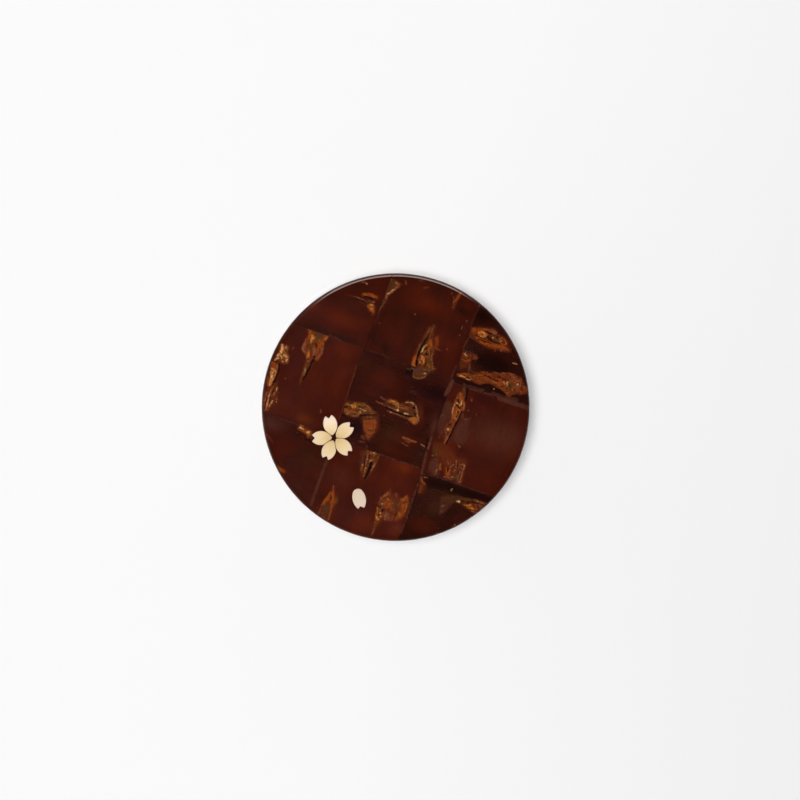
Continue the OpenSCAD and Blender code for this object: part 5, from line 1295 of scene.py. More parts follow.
def top_south(b):
    b.cloud("tone", (2.4, -17.6), 5, 2.8, -20, 0.5)
    b.cloud("hue", (2.4, -17.6), 6, 4, -20, 0.7)
    b.cloud("haze", (-16.4, -21), 4, 4.5, 70, 0.3)
    b.cloud("tone", (-16, -21), 4, 5, 70, 0.1)
    b.cloud("hue", (-16, -21), 4, 5, 70, -0.2)
    b.cloud("tone", (-10, -34.4), 4.4, 3.4, 0, 0.4)
    b.cloud("hue", (-10, -34.4), 5, 4, 0, 0.7)
    b.cloud("tone", (0.6, -36), 3.2, 2.6, 0, 0.55)
    b.cloud("haze", (0.4, -36.6), 3, 2, 0, 0.25)
    b.cloud("hue", (0, -36), 4, 3, 0, 0.5)
    b.cloud("tone", (-21.4, -27), 1.6, 6, 72, -0.2)
    b.cloud("tone", (-4, -21.6), 5, 2.6, -20, 0.2)
    b.cloud("hue", (-3, -22.6), 6, 3, -20, 0.8)
    b.cloud("tone", (-13.6, -15.4), 2.4, 2.4, 0, 0.15)
    b.cloud("tone", (-14, -30.6), 3, 3, 0, -0.05)
    b.cloud("olive", (-21, -31), 2, 3, 70, 0.09)
    b.cloud("tone", (4.8, -24.4), 1.6, 5, 72, 0.15)
    ground(b, (-10.3, -13.4, -9.2, -13.2, -8.3, -12.8, -7.6, -12.8, -6.8, -13.2, -5.6, -13.4, -5.1, -14.4, -5.5, -16, -6.1, -17.4, -7.1, -19.1, -7.9, -20.1, -8.8, -21.4, -9.5, -21.2, -9.9, -20, -10.4, -19, -10.3, -16.6, -9.9, -14.8), 76,
           "olive", 0.6, 0.6, 0.3, "brown", 0.5, 0.4, 121)
    strokes(b, [
        ("haze", 0.6, 0.9, -9.4, -13.7, -9.7, -15, -10.0, -16.4), ("tan", 0.5, 0.8, -9.8, -17, -10.1, -18, -10.3, -19), ("pale", 0.32, 0.6, -9.8, -17.2, -10.0, -17.9), ("dark", 0.4, 0.6, -9.1, -14.6, -9.3, -16.4, -9.5, -17.6),
        ("gold", 0.38, 0.8, -8.4, -13.4, -8.1, -12.95, -7.6, -12.95, -7.3, -13.4, -7.5, -13.9), ("olive", 0.5, 0.8, -7.9, -13.5), ("tan", 0.45, 0.85, -8.3, -13.8, -8.5, -15.2, -8.8, -16.7, -9.0, -18.0), ("gold", 0.4, 0.7, -9.0, -18.0, -9.3, -19.5, -9.6, -20.8),
        ("pale", 0.4, 0.65, -8.4, -15.6), ("pale", 0.4, 0.7, -8.8, -18.2), ("gold", 0.7, 0.85, -7.2, -13.9, -6.6, -13.5, -6.1, -13.7), ("pale", 0.55, 0.9, -6.9, -13.7, -6.4, -13.6), ("orange", 0.8, 0.9, -6.5, -14.4), ("gold", 0.5, 0.6, -5.8, -14.0),
        ("brown", 0.7, 0.7, -7.8, -14.6, -7.9, -15.8), ("dark", 0.3, 0.6, -7.7, -14.2, -7.9, -15.4), ("tan", 0.5, 0.85, -7.8, -16.3, -7.4, -15.7, -7.0, -15.7), ("pale", 0.3, 0.8, -7.7, -16.2, -7.2, -15.8), ("orange", 0.6, 0.6, -8.1, -17.4),
        ("dark", (0.5, 1.0, 0.8, 0.6, 0.35), 0.95, -7.3, -16.4, -7.6, -17.8, -8.2, -19.3, -8.8, -20.6, -9.3, -21.4), ("orange", 0.45, 0.6, -6.8, -15.2, -6.4, -16.4), ("tan", 0.55, 0.85, -6.2, -17.0, -6.8, -18.0, -7.4, -19.0), ("pale", 0.25, 0.4, -6.5, -17.4, -7.0, -18.3),
        ("tan", 0.28, 0.5, -5.0, -14.2, -5.6, -16, -6.2, -17), ("olive", 0.3, 0.6, -6.2, -15.0, -6.0, -16.4), ("haze", 0.5, 0.4, -9.8, -19.6, -10.4, -21.6),
        ("haze", 0.4, 0.7, -0.8, -15.6), ("tan", 0.4, 0.6, -0.8, -15.6), ("haze", 0.6, 0.5, 3.8, -19.4), ("dark", 0.5, 0.35, -11.5, -31.2),
    ])
    # flame-like pair beside the left seam
    b.fill("brown", [(-18.6, -23.6), (-17.2, -27), (-18, -30), (-20.0, -34.2), (-21.6, -34), (-23.2, -31.6), (-21, -27.4), (-19.4, -25)], 0.55, soft=0.6)
    patches(b, [("olive", 0.3, 0.75, -21, -28.7, -19.8, -29.2, -19.9, -30.8, -20.5, -31.8, -21.5, -31.4, -21.8, -30), ("haze", 0.3, 0.45, -21.2, -29.2, -20, -29.6, -20.2, -31.4, -21.4, -31)])
    strokes(b, [
        ("tan", 0.45, 0.6, -18.5, -23.6, -18.6, -24.2), ("orange", (0.5, 1.0, 1.1, 0.8), 0.95, -19.4, -25.4, -20.0, -26.7, -20.8, -27.7, -21.5, -28.7), ("gold", 0.4, 0.45, -19.7, -26.0, -20.3, -27.1), ("tan", 0.4, 0.75, -21.5, -28.6, -22.1, -29.6, -22.6, -30.7, -23.0, -31.7),
        ("orange", (0.3, 0.7, 0.9, 0.9, 0.8), 0.95, -18.6, -24.2, -18.75, -25.6, -18.7, -27, -18.9, -28.4, -19.1, -29.7), ("gold", 0.35, 0.4, -18.75, -25.4, -18.8, -26.8), ("orange", (0.7, 0.5, 0.5), 0.9, -19.1, -29.6, -19.5, -31.4, -20.1, -33.6), ("tan", 0.28, 0.6, -19.2, -30.6, -19.6, -32, -20.2, -33.4),
        ("olive", 0.8, 0.8, -17.9, -26.8, -17.6, -27.9, -18.0, -28.8), ("orange", 0.6, 0.7, -18.2, -28.4), ("gold", 0.35, 0.4, -17.8, -27.4, -17.8, -28.2), ("orange", 0.7, 0.7, -19.8, -27.8, -19.4, -28.6), ("dark", 0.25, 0.5, -19.3, -26.8, -19.7, -28.2),
        ("tan", 0.35, 0.6, -21.9, -31.6, -21.3, -33.2), ("olive", 0.5, 0.7, -20.9, -32.2, -21.1, -33.4), ("haze", 0.4, 0.6, -20.0, -30.4),
    ])
    q = (-2.3, -24.9, -1.5, -25.6, -1.2, -26.8, -0.6, -27.6, 0.4, -27.6, 1.4, -27.2, 2.6, -26.8, 3.4, -26.2, 3.9, -27.2, 3.8, -29, 3.4, -30.4, 2.7, -31.8, 1.8, -33.3, 0.4, -33.8, -0.8, -33.9, -1.8, -34.0, -3, -33.8, -4, -33.4, -4.8, -34.4,
         -5.4, -35.2, -6.2, -36, -6.8, -37.8, -7.3, -38.4, -6.8, -36.6, -6.3, -34.8, -6.0, -32.8, -5.8, -31, -5.4, -29.8, -5.6, -28.8, -4.8, -28.2, -4.7, -27, -3.4, -25.9)
    ground(b, q, 72, "brown", 0.8, 0.6, 0.25, "orange", 0.65, 0.3, 131)
    patches(b, [("orange", 0.5, 0.6, 1.4, -27.8, 3.4, -27.0, 3.6, -29.0, 3.0, -31.2, 1.6, -33.0, 0.4, -32.6, 1.6, -30.4), ("orange", 0.5, 0.5, -2.6, -27.4, -0.6, -28.4, -1.0, -29.6, -3.2, -30.4, -3.8, -28.6),
                ("olive", 0.5, 0.4, -0.6, -28.6, 1.2, -28.6, 1.0, -30.6, -0.8, -30.4), ("tan", 0.5, 0.45, -3.6, -31.8, -2.2, -31.4, -2.0, -33.0, -3.2, -33.6), ("brown", 0.4, 0.7, -1.0, -25.8, 1.0, -25.8, 1.0, -28, -1.0, -28)])
    strokes(b, [
        ("tan", 0.5, 0.75, -2.2, -25.2, -2.6, -26.1, -3.5, -26.5, -4.3, -27.1), ("gold", 0.4, 0.6, -2.6, -25.6, -3.0, -26.6), ("tan", 0.45, 0.7, -4.5, -27.2, -4.2, -28.0, -4.8, -28.4), ("gold", 0.6, 0.7, -2.6, -27.3, -1.9, -27.7), ("olive", 0.7, 0.75, -3.2, -27.0),
        ("dark", 0.35, 0.5, -3.2, -26.9), ("pale", 0.35, 0.7, -4.5, -28.8, -3.7, -28.8), ("dark", 0.4, 0.75, -5.6, -29, -4.9, -29.5), ("dark", 0.45, 0.85, -4.4, -29.9, -3.9, -31.0), ("dark", 0.35, 0.7, -3.4, -30.4, -4.4, -31.2), ("tan", 0.35, 0.7, -4.6, -30.6, -3.8, -30.1),
        ("gold", 0.55, 0.85, -5.5, -30.1, -5.4, -31.2, -5.8, -32.4, -5.5, -33.7), ("gold", 0.6, 0.85, -4.6, -31.2, -4.5, -32.4, -4.9, -33.4), ("pale", 0.5, 0.8, -4.6, -31.6), ("pale", 0.5, 0.85, -5.6, -32.9), ("pale", 0.45, 0.7, -4.4, -32.6), ("pale", 0.4, 0.7, -5.2, -33.6),
        ("dark", 0.45, 0.55, -5.1, -32.0), ("olive", 0.7, 0.8, -5.2, -34.2, -5.8, -34.9), ("gold", 0.35, 0.6, -5.6, -34.4), ("tan", 0.35, 0.7, -6.2, -35.4, -6.4, -36.4, -7.0, -37.8), ("gold", 0.3, 0.5, -6.2, -34.0, -6.2, -35.2),
        ("gold", 0.45, 0.75, 1.5, -27.7, 2.5, -27.2, 3.3, -26.5), ("tan", 0.4, 0.7, 3.1, -27.2, 3.6, -28.0), ("gold", 0.38, 0.75, 3.4, -28.7, 3.2, -30.1, 2.6, -31.4), ("gold", 0.45, 0.6, 2.0, -28.0, 2.5, -27.7), ("dark", 0.3, 0.5, 2.3, -28.6, 3.1, -28.2),
        ("gold", 0.6, 0.5, 2.2, -29.0, 2.0, -30.4), ("gold", 0.8, 0.45, 0.9, -31.4, 1.2, -32.6), ("pale", 0.35, 0.4, 1.2, -32.0), ("olive", 0.6, 0.7, 0.2, -29.0), ("tan", 0.6, 0.6, -3.4, -32.6, -2.7, -32.2), ("tan", 0.4, 0.6, -3.4, -33.4), ("gold", 0.5, 0.5, -2.0, -33.2),
        ("haze", 0.6, 0.6, -0.2, -33.9), ("tan", 0.32, 0.6, 0.1, -25.5, 0.3, -26.8), ("dark", 0.3, 0.5, -0.2, -32.4, 0.4, -31.2), ("gold", 0.4, 0.4, -1.6, -30.0, -0.6, -30.6), ("dark", 0.25, 0.4, -2.4, -31.0, -1.4, -31.6), ("gold", 0.4, 0.4, -0.8, -28.6, -1.8, -28.9),
        ("tan", 0.3, 0.4, -1.4, -25.2, -1.6, -24.4), ("dark", 0.4, 0.35, -0.4, -34.9),
    ])


def top_south_east(b):
    b.cloud("tone", (17.5, -24.6), 10, 1.7, -17, -0.5)
    b.cloud("olive", (15, -26.6), 9, 3.4, -17, 0.14)
    b.cloud("tone", (7.6, -35.4), 6, 2.6, -15, 0.55)
    b.cloud("hue", (7.6, -35.4), 6, 3, -15, 0.5)
    b.cloud("tone", (19, -34.4), 4, 2.4, -25, 0.3)
    b.cloud("hue", (18, -34), 4, 3, -25, 0.2)
    b.cloud("olive", (11, -31), 4, 3, 0, 0.14)
    b.cloud("brown", (8, -23.4), 1.3, 2.4, 0, 0.75)
    b.cloud("tone", (26, -32.6), 2.4, 2.4, 0, -0.1)
    b.cloud("hue", (8, -27), 4, 3, 0, -0.3)
    b.cloud("haze", (12, -29.6), 2.6, 2.2, 0, 0.22)
    # dark band under the row line
    b.line("dark", [(9.5, -22.2), (14.4, -23.4), (19.5, -25.2), (24.5, -26.7), (28.5, -28.0)], 2.0, 0.42, soft=0.8)
    patches(b, [
        ("haze", 0.5, 0.5, 13.6, -26.8, 17, -26.3, 20, -26.9, 22.4, -27.6, 19, -27.9, 17.2, -28.4, 16.6, -29.2, 15.6, -30.2, 14.8, -31.2, 13.8, -31.9, 12.8, -31.7, 13.2, -30, 13.2, -28.4),
        ("olive", 0.5, 0.3, 14, -26.8, 19, -26.9, 18.6, -27.9, 15.4, -28.6, 14.4, -28),
    ])
    ground(b, (19.4, -27.3, 21, -27.4, 23.4, -27.6, 25, -27.9, 27.0, -28.6, 27.5, -29.1, 26.2, -30.2, 24.9, -31.2, 23.9, -31.8, 22.6, -31.1, 21.4, -30.2, 20.4, -29.6, 19.6, -28.9), -22, "brown", 0.8, 0.4, 0.2, "olive", 0.5, 0.4, 141)
    strokes(b, [
        ("tan", 0.6, 0.5, 13.6, -29.6, 14.5, -29.4), ("tan", 0.5, 0.45, 13.5, -31.2), ("haze", 0.8, 0.5, 14.0, -30.6, 13.4, -31.4), ("pale", 0.75, 0.95, 18.9, -28.2), ("pale", 0.4, 0.75, 18.2, -28.2, 18.8, -28.1), ("haze", 0.4, 0.9, 19.9, -28.1), ("dark", 0.4, 0.6, 19.6, -27.8, 20.2, -28.4),
        ("olive", 0.6, 0.8, 19.6, -27.3, 21, -27.5, 23, -27.9), ("tan", 0.5, 0.85, 23.7, -27.8, 25.0, -28.3, 26.5, -28.9), ("pale", 0.25, 0.5, 23.9, -27.9, 25.2, -28.4), ("dark", 0.35, 0.6, 21.4, -28.3, 23.4, -28.4, 24.8, -28.8),
        ("gold", 0.5, 0.8, 20.4, -29.0, 21.4, -29.3, 22.6, -29.0), ("pale", 0.3, 0.5, 21.2, -29.3, 22.2, -29.2), ("orange", (0.8, 1.1, 0.9), 0.95, 21.5, -29.9, 22.5, -29.9, 23.3, -30.5), ("gold", 0.5, 0.6, 21.8, -29.8, 22.8, -30.2), ("pale", 0.3, 0.45, 22.6, -30.1, 23.0, -30.5),
        ("gold", 0.4, 0.8, 22.4, -30.7, 23.3, -31.2, 24.0, -31.5), ("dark", 0.28, 0.6, 22.2, -30.5, 23.2, -30.9), ("tan", 0.4, 0.8, 24.0, -29.0, 24.7, -29.5, 25.5, -30.0), ("tan", 0.35, 0.7, 24.8, -29.0, 25.9, -29.5), ("orange", 0.5, 0.8, 23.6, -29.3, 24.4, -30.3),
        ("tan", 0.35, 0.7, 23.8, -30.3, 24.6, -30.9), ("dark", 0.25, 0.7, 23.1, -29.3, 23.9, -30.1), ("dark", 0.28, 0.7, 24.2, -29.4, 25.0, -30.2), ("dark", 0.25, 0.5, 24.9, -28.9, 26.2, -29.3),
        ("tan", 0.38, 0.75, 7.4, -20.9, 8.4, -20.9, 9.6, -21.2), ("orange", 0.7, 0.7, 7.6, -21.4, 8.0, -22.4, 8.7, -22.9), ("tan", 0.4, 0.6, 7.8, -21.8, 8.2, -22.6, 8.8, -22.9), ("orange", 0.9, 0.3, 7.6, -23.6, 7.2, -25.4),
        ("pale", 0.4, 0.85, 16.5, -24.9, 16.9, -24.4), ("haze", 0.6, 0.6, 16.7, -24.7), ("dark", 0.5, 0.7, 17.7, -24.5), ("pale", 0.4, 0.55, 17.7, -35.1), ("tan", 0.35, 0.5, 17.1, -35.4), ("tan", 0.45, 0.55, 12.3, -37.6),
    ])


PAINTED_SEAM_BANDS = [  # layer, points, width, strength: the pale bands along the joints are painted reflections of the tiles' rounded edges; one dark line lies beside a joint
    ("haze", [(-11.6, 12.5), (-13, 8), (-14.6, 2.7), (-16.75, -3.3)], 0.32, 0.85),
    ("haze", [(-14.9, 2.4), (-14.5, 3.4)], 0.6, 0.8),
    ("haze", [(-6, 25.2), (-4.2, 30.2)], 0.25, 0.4),
    ("haze", [(-20.4, -15.5), (-22.8, -22), (-25.3, -29.3)], 0.85, 0.85),
    ("haze", [(24.8, 29.8), (24, 28), (22.6, 24.4)], 0.5, 0.45),
    ("haze", [(22.5, 24.3), (22.3, 23)], 0.35, 0.8),
    ("tan", [(21.5, 20.4), (20.2, 17.6)], 0.3, 0.55),
    ("haze", [(20.2, 17.3), (19.4, 14.8)], 0.35, 0.6),
    ("haze", [(18.2, 12.4), (17.0, 9.6), (16.6, 8.2)], 0.6, 0.55),
    ("tan", [(16.9, 7.4), (15.2, 4.2)], 0.95, 0.42),
    ("haze", [(17.0, 7.8), (14.9, 3.6)], 0.9, 0.85),
    ("haze", [(10.7, -9.1), (9.6, -12.6)], 0.7, 0.85),
    ("tan", [(10.4, -10.8), (9.9, -12.2)], 0.4, 0.5),
    ("dark", [(9.9, -9.4), (9.0, -12.2)], 0.35, 0.7),
    ("haze", [(9.2, -13.6), (7.7, -19.9)], 0.7, 0.9),
    ("haze", [(7.7, -19.9), (5.6, -25.9), (3.3, -32.5), (1.6, -37.5)], 0.5, 0.9),
    ("haze", [(-19.9, 21.5), (-16.3, 19.95)], 0.35, 0.85),
    ("haze", [(-8.5, 17.05), (-3.9, 15.7), (-2.2, 14.7)], 0.3, 0.5),
    ("haze", [(21.7, 5.5), (23.4, 5.2), (27.2, 4.0), (31, 2.9)], 0.5, 0.9),
    ("haze", [(31, 2.6), (35.3, 1.2), (39.6, -0.3)], 1.3, 0.8),
    ("haze", [(-34.5, -3.3), (-26.2, -6.4)], 0.3, 0.6),
    ("haze", [(-5.2, -13.9), (-0.6, -15.4), (6.9, -18.05)], 0.4, 0.7),
    ("haze", [(7.7, -19.8), (14.4, -21.5), (21.5, -24), (28.5, -26.5)], 0.35, 0.45),
]

PAINT = {"north": top_north, "north_west": top_north_west, "north_east": top_north_east, "west": top_west, "centre": top_centre,
         "east": top_east, "south_west": top_south_west, "south": top_south, "south_east": top_south_east}


def grid_points(lo, hi, step, seed):
    rng = np.random.default_rng(seed)
    nx, ny = int((hi[0] - lo[0]) / step) + 1, int((hi[1] - lo[1]) / step) + 1
    gx, gy = np.meshgrid(np.arange(nx) * step + lo[0], np.arange(ny) * step + lo[1])
    gx = gx + (np.arange(ny) % 2)[:, None] * step / 2
    p = np.stack([gx.ravel(), gy.ravel()], 1)
    return p + rng.uniform(-0.08, 0.08, p.shape) * step


def inset(loop, d):
    t = np.roll(loop, -1, 0) - np.roll(loop, 1, 0)
    t /= np.maximum(np.linalg.norm(t, axis=1, keepdims=True), 1e-9)
    area = np.sum(loop[:, 0] * np.roll(loop[:, 1], -1) - np.roll(loop[:, 0], -1) * loop[:, 1])
    return loop + np.stack([-t[:, 1], t[:, 0]], 1) * d * (1 if area > 0 else -1)


STEP = 0.17
EDGE_R = 0.03
BANDS = (0.012, 0.03, 0.06, 0.11)


def edge_drop(d, rr=EDGE_R):
    q = np.clip(rr - d, 0, rr)
    return rr - np.sqrt(np.maximum(rr * rr - q * q, 0))


def bark_attrs(b, along, number):
    a = math.radians(along)
    u = b.x * math.cos(a) + b.y * math.sin(a)
    v = -b.x * math.sin(a) + b.y * math.cos(a)
    attrs = {k: np.clip(b.layer[k], 0, 1) for k in LAYERS}
    attrs["tone"] = np.clip(b.tone, -1, 1)
    attrs["hue"] = np.clip(b.hue, -1, 1)
    return attrs, {"bark": np.stack([u, v, np.full(len(u), 7.3 * number)], 1)}


def spread(attrs, vectors, ring):
    """The same pattern on the vertices below the edge."""
    return ({k: np.concatenate([v, v[ring]]) for k, v in attrs.items()},
            {k: np.concatenate([v, v[ring]]) for k, v in vectors.items()})


# ---------------------------------------------------------------- build the lid top

def build_tile(name, number):
    i, j = TILES[name]
    corners = tile_corners(i, j)
    loop = clip_to_circle(corners, RING, 0.16)
    lo, hi = loop.min(0), loop.max(0)
    quad = np.vstack([corners])
    pockets = [q for q in POCKETS if i < 2 and j < 2
               and (q[:, 0].min() < hi[0]) and (q[:, 0].max() > lo[0]) and (q[:, 1].min() < hi[1]) and (q[:, 1].max() > lo[1])]
    pts = [grid_points(lo, hi, STEP, 300 + number)]
    rim = []
    for r in (38.40, 38.46, 38.53, 38.60, 38.67, 38.75, 38.85, 38.95, 39.05, 39.15, 39.25, 39.35, 39.44, 39.52, 39.59, 39.65, 39.70, 39.735):
        a = np.arange(0, 2 * math.pi, 0.25 / r)
        rim.append(np.stack([r * np.cos(a), r * np.sin(a)], 1))
    pts.append(np.concatenate(rim))
    for d in BANDS:
        pts.append(inset(loop, d))
        for q in pockets:
            pts.append(inset(q, -d))
    pts = np.concatenate(pts)
    r = np.hypot(pts[:, 0], pts[:, 1])
    d_edge, _ = segments_distance(pts[:, 0], pts[:, 1], quad, True)
    ok = inside(pts[:, 0], pts[:, 1], quad) & (r < RING - 0.012) & (d_edge > 0.010)
    # free grid points keep clear of the bands that follow the edges
    near = np.full(len(pts), 1e9)
    n_grid = len(grid_points(lo, hi, STEP, 300 + number))
    for q in pockets:
        dq, _ = segments_distance(pts[:, 0], pts[:, 1], q, True)
        ok &= ~inside(pts[:, 0], pts[:, 1], q) & (dq > 0.009)
        near = np.minimum(near, dq)
    is_grid = np.arange(len(pts)) < n_grid
    ok &= ~(is_grid & ((d_edge < 0.15) | (near < 0.15) | (r > 38.34)))
    pts = pts[ok]

    def keep(x, y):
        m = inside(x, y, loop)
        for q in pockets:
            m &= ~inside(x, y, q)
        return m

    made = {}

    def top(x, y):
        b = Bark(x, y, seed=40 + 9 * number)
        tone, hue = BASE[name]
        b.plain(ALONG[name], tone, hue, 60 + number)
        PAINT[name](b)
        # pale bands along some joints: painted reflections of the tiles' rounded edges
        for layer, line, w, amt in PAINTED_SEAM_BANDS:
            wide = w > 0.6
            b.line(layer, line, w, amt, soft=0.28 if wide else 0.12, rough=0.0 if wide else 0.1, bend=False)
        d, _ = segments_distance(x, y, quad, True)
        # each tile's edges are darkened with painted shade that damps the reflection of their rounded edges; it is left
        # out under the pale painted seam reflections
        b.over("dark", slice(None), 0.45 * smooth(0.15, 0.04, d) * (1 - np.clip(b.layer["haze"] * 1.3, 0, 1)))
        b.finish()
        for q in pockets:
            dq, _ = segments_distance(x, y, q, True)
            d = np.minimum(d, dq)
        made["b"] = b
        wave = 0.010 * noise(x / 7, y / 7, 5 + number) + 0.004 * noise(x / 1.8, y / 1.8, 6 + number)
        z = shoulder(np.hypot(x, y)) - 0.035 + np.clip(wave + b.relief, -0.03, 0.03) - edge_drop(d)
        return np.maximum(z, H - BARK + 0.006)

    v, f, n = plate(pts, [loop] + pockets, keep, top, lambda x, y: np.full(len(x), H - BARK))
    ring = ring_of(v, n)
    attrs, vectors = bark_attrs(made["b"], ALONG[name], number)
    attrs, vectors = spread(attrs, vectors, ring)
    return make("lid_top_tile_" + name, v, f, M_BARK, "lid", ["top_bark_" + name], attrs, vectors, smooth_angle=50)


def ring_of(v, n):
    """Which top vertices the lower ones stand under."""
    key = {}
    for k in range(n):
        key[(round(v[k, 0], 6), round(v[k, 1], 6))] = k
    return np.array([key[(round(p[0], 6), round(p[1], 6))] for p in v[n:]], int)


def build_petals(name, items, node):
    vs, fs, base = [], [], 0
    vec, edge = [], []
    for number, (loop, root, ang) in items:
        lo, hi = loop.min(0), loop.max(0)
        pts = [grid_points(lo, hi, 0.14, 700 + number)]
        n_grid = len(pts[0])
        for d in (0.015, 0.035, 0.07, 0.12):
            pts.append(inset(loop, d))
        pts = np.concatenate(pts)
        d, _ = segments_distance(pts[:, 0], pts[:, 1], loop, True)
        ok = inside(pts[:, 0], pts[:, 1], loop) & (d > 0.012)
        ok &= ~((np.arange(len(pts)) < n_grid) & (d < 0.15))
        pts = pts[ok]

        def top(x, y, loop=loop, number=number):
            dd, _ = segments_distance(x, y, loop, True)
            return H - 0.028 + 0.004 * noise(x / 1.5, y / 1.5, 800 + number) - edge_drop(dd, 0.10)

        v, f, n = plate(pts, [loop], lambda x, y, loop=loop: inside(x, y, loop), top, lambda x, y: np.full(len(x), H - BARK))
        dx, dy = v[:, 0] - root[0], v[:, 1] - root[1]
        vec.append(np.stack([dx * math.cos(ang) + dy * math.sin(ang), -dx * math.sin(ang) + dy * math.cos(ang), np.full(len(v), 11.0 * number)], 1))
        dd, _ = segments_distance(v[:, 0], v[:, 1], loop, True)
        edge.append(np.clip(1 - dd / 0.35, 0, 1))
        vs.append(v)
        fs += [tuple(q + base for q in t) for t in f]
        base += len(v)
    return make(name, np.concatenate(vs), fs, M_INLAY, "lid", [node], {"edge": np.concatenate(edge)},
                {"petal": np.concatenate(vec)}, smooth_angle=50)


for number, name in enumerate(TILES):
    build_tile(name, number)
build_petals("blossom", [(k, OUTLINES[k]) for k in range(5)], "blossom_petals")
build_petals("fallen_petal", [(5, OUTLINES[5])], "loose_petal")


# ---------------------------------------------------------------- walls

def section_radius(z):
    low = np.clip(SR - z, 0, SR)
    high = np.clip(z - (H - SR), 0, SR)
    q = np.maximum(low, high)
    return R - SR + np.sqrt(SR * SR - q * q)


def random_outline(rng, c, long, wide, ang):
    n = 12
    t = np.linspace(0, 2 * math.pi, n, endpoint=False) + rng.uniform(-0.2, 0.2, n)
    r = rng.uniform(0.55, 1.1, n)
    x, y = long * r * np.cos(t), wide * r * np.sin(t)
    a = math.radians(ang)
    return np.stack([c[0] + x * math.cos(a) - y * math.sin(a), c[1] + x * math.sin(a) + y * math.cos(a)], 1)


def paint_wall(b, rng, box, along):
    """Scars of the same kinds as on the lid, placed by chance."""
    x0, x1, y0, y1 = box
    w, h = x1 - x0, y1 - y0
    b.cloud("tone", (rng.uniform(x0, x1), rng.uniform(y0, y1)), 9, 5, along, rng.uniform(-0.25, 0.3))
    b.cloud("tone", (rng.uniform(x0, x1), rng.uniform(y0, y1)), 7, 4, along, rng.uniform(-0.25, 0.3))
    b.cloud("hue", (rng.uniform(x0, x1), rng.uniform(y0, y1)), 9, 5, along, rng.uniform(-0.5, 0.5))
    for k in range(int(rng.integers(2, 5) * min(1, max(0.4, h / 24)))):
        c = (rng.uniform(x0 + 2, x1 - 2), rng.uniform(y0 + 1, y1 - 1))
        long, wide = rng.uniform(1.6, 6.0), rng.uniform(0.7, 2.2)
        ang = along + rng.uniform(-14, 14) + (90 if rng.random() < 0.25 else 0)
        style = rng.choice(["orange", "olive", "gold", "brown", "orange"])
        p = random_outline(rng, c, long, wide, ang)
        scar(b, p, ang, str(style), rng.uniform(0.55, 0.85), gold=rng.uniform(0.2, 0.7), tan=rng.uniform(0.1, 0.5), olive=rng.uniform(0.1, 0.6),
             dark=rng.uniform(0.3, 0.6), halo=0.5, rings=rng.uniform(0.2, 0.7), seed=int(rng.integers(1000)))
        if rng.random() < 0.6:
            q = rng.uniform(-0.5, 0.5, 2)
            b.dot("gold", (c[0] + q[0] * long, c[1] + q[1] * wide), rng.uniform(0.3, 0.6), 0.85)
        if rng.random() < 0.5:
            a = math.radians(ang)
            b.line("dark", [(c[0] - long * 0.8 * math.cos(a), c[1] - long * 0.8 * math.sin(a)), c,
                            (c[0] + long * 0.8 * math.cos(a), c[1] + long * 0.8 * math.sin(a))], 0.3, 0.8)
    # a few small tan, pale and gold dots; the pale ones are pale colour with painted glints
    for k in range(int(rng.integers(1, 5))):
        c = (rng.uniform(x0, x1), rng.uniform(y0, y1))
        b.dot(str(rng.choice(["tan", "pale", "gold"])), c, rng.uniform(0.15, 0.3), 0.6)


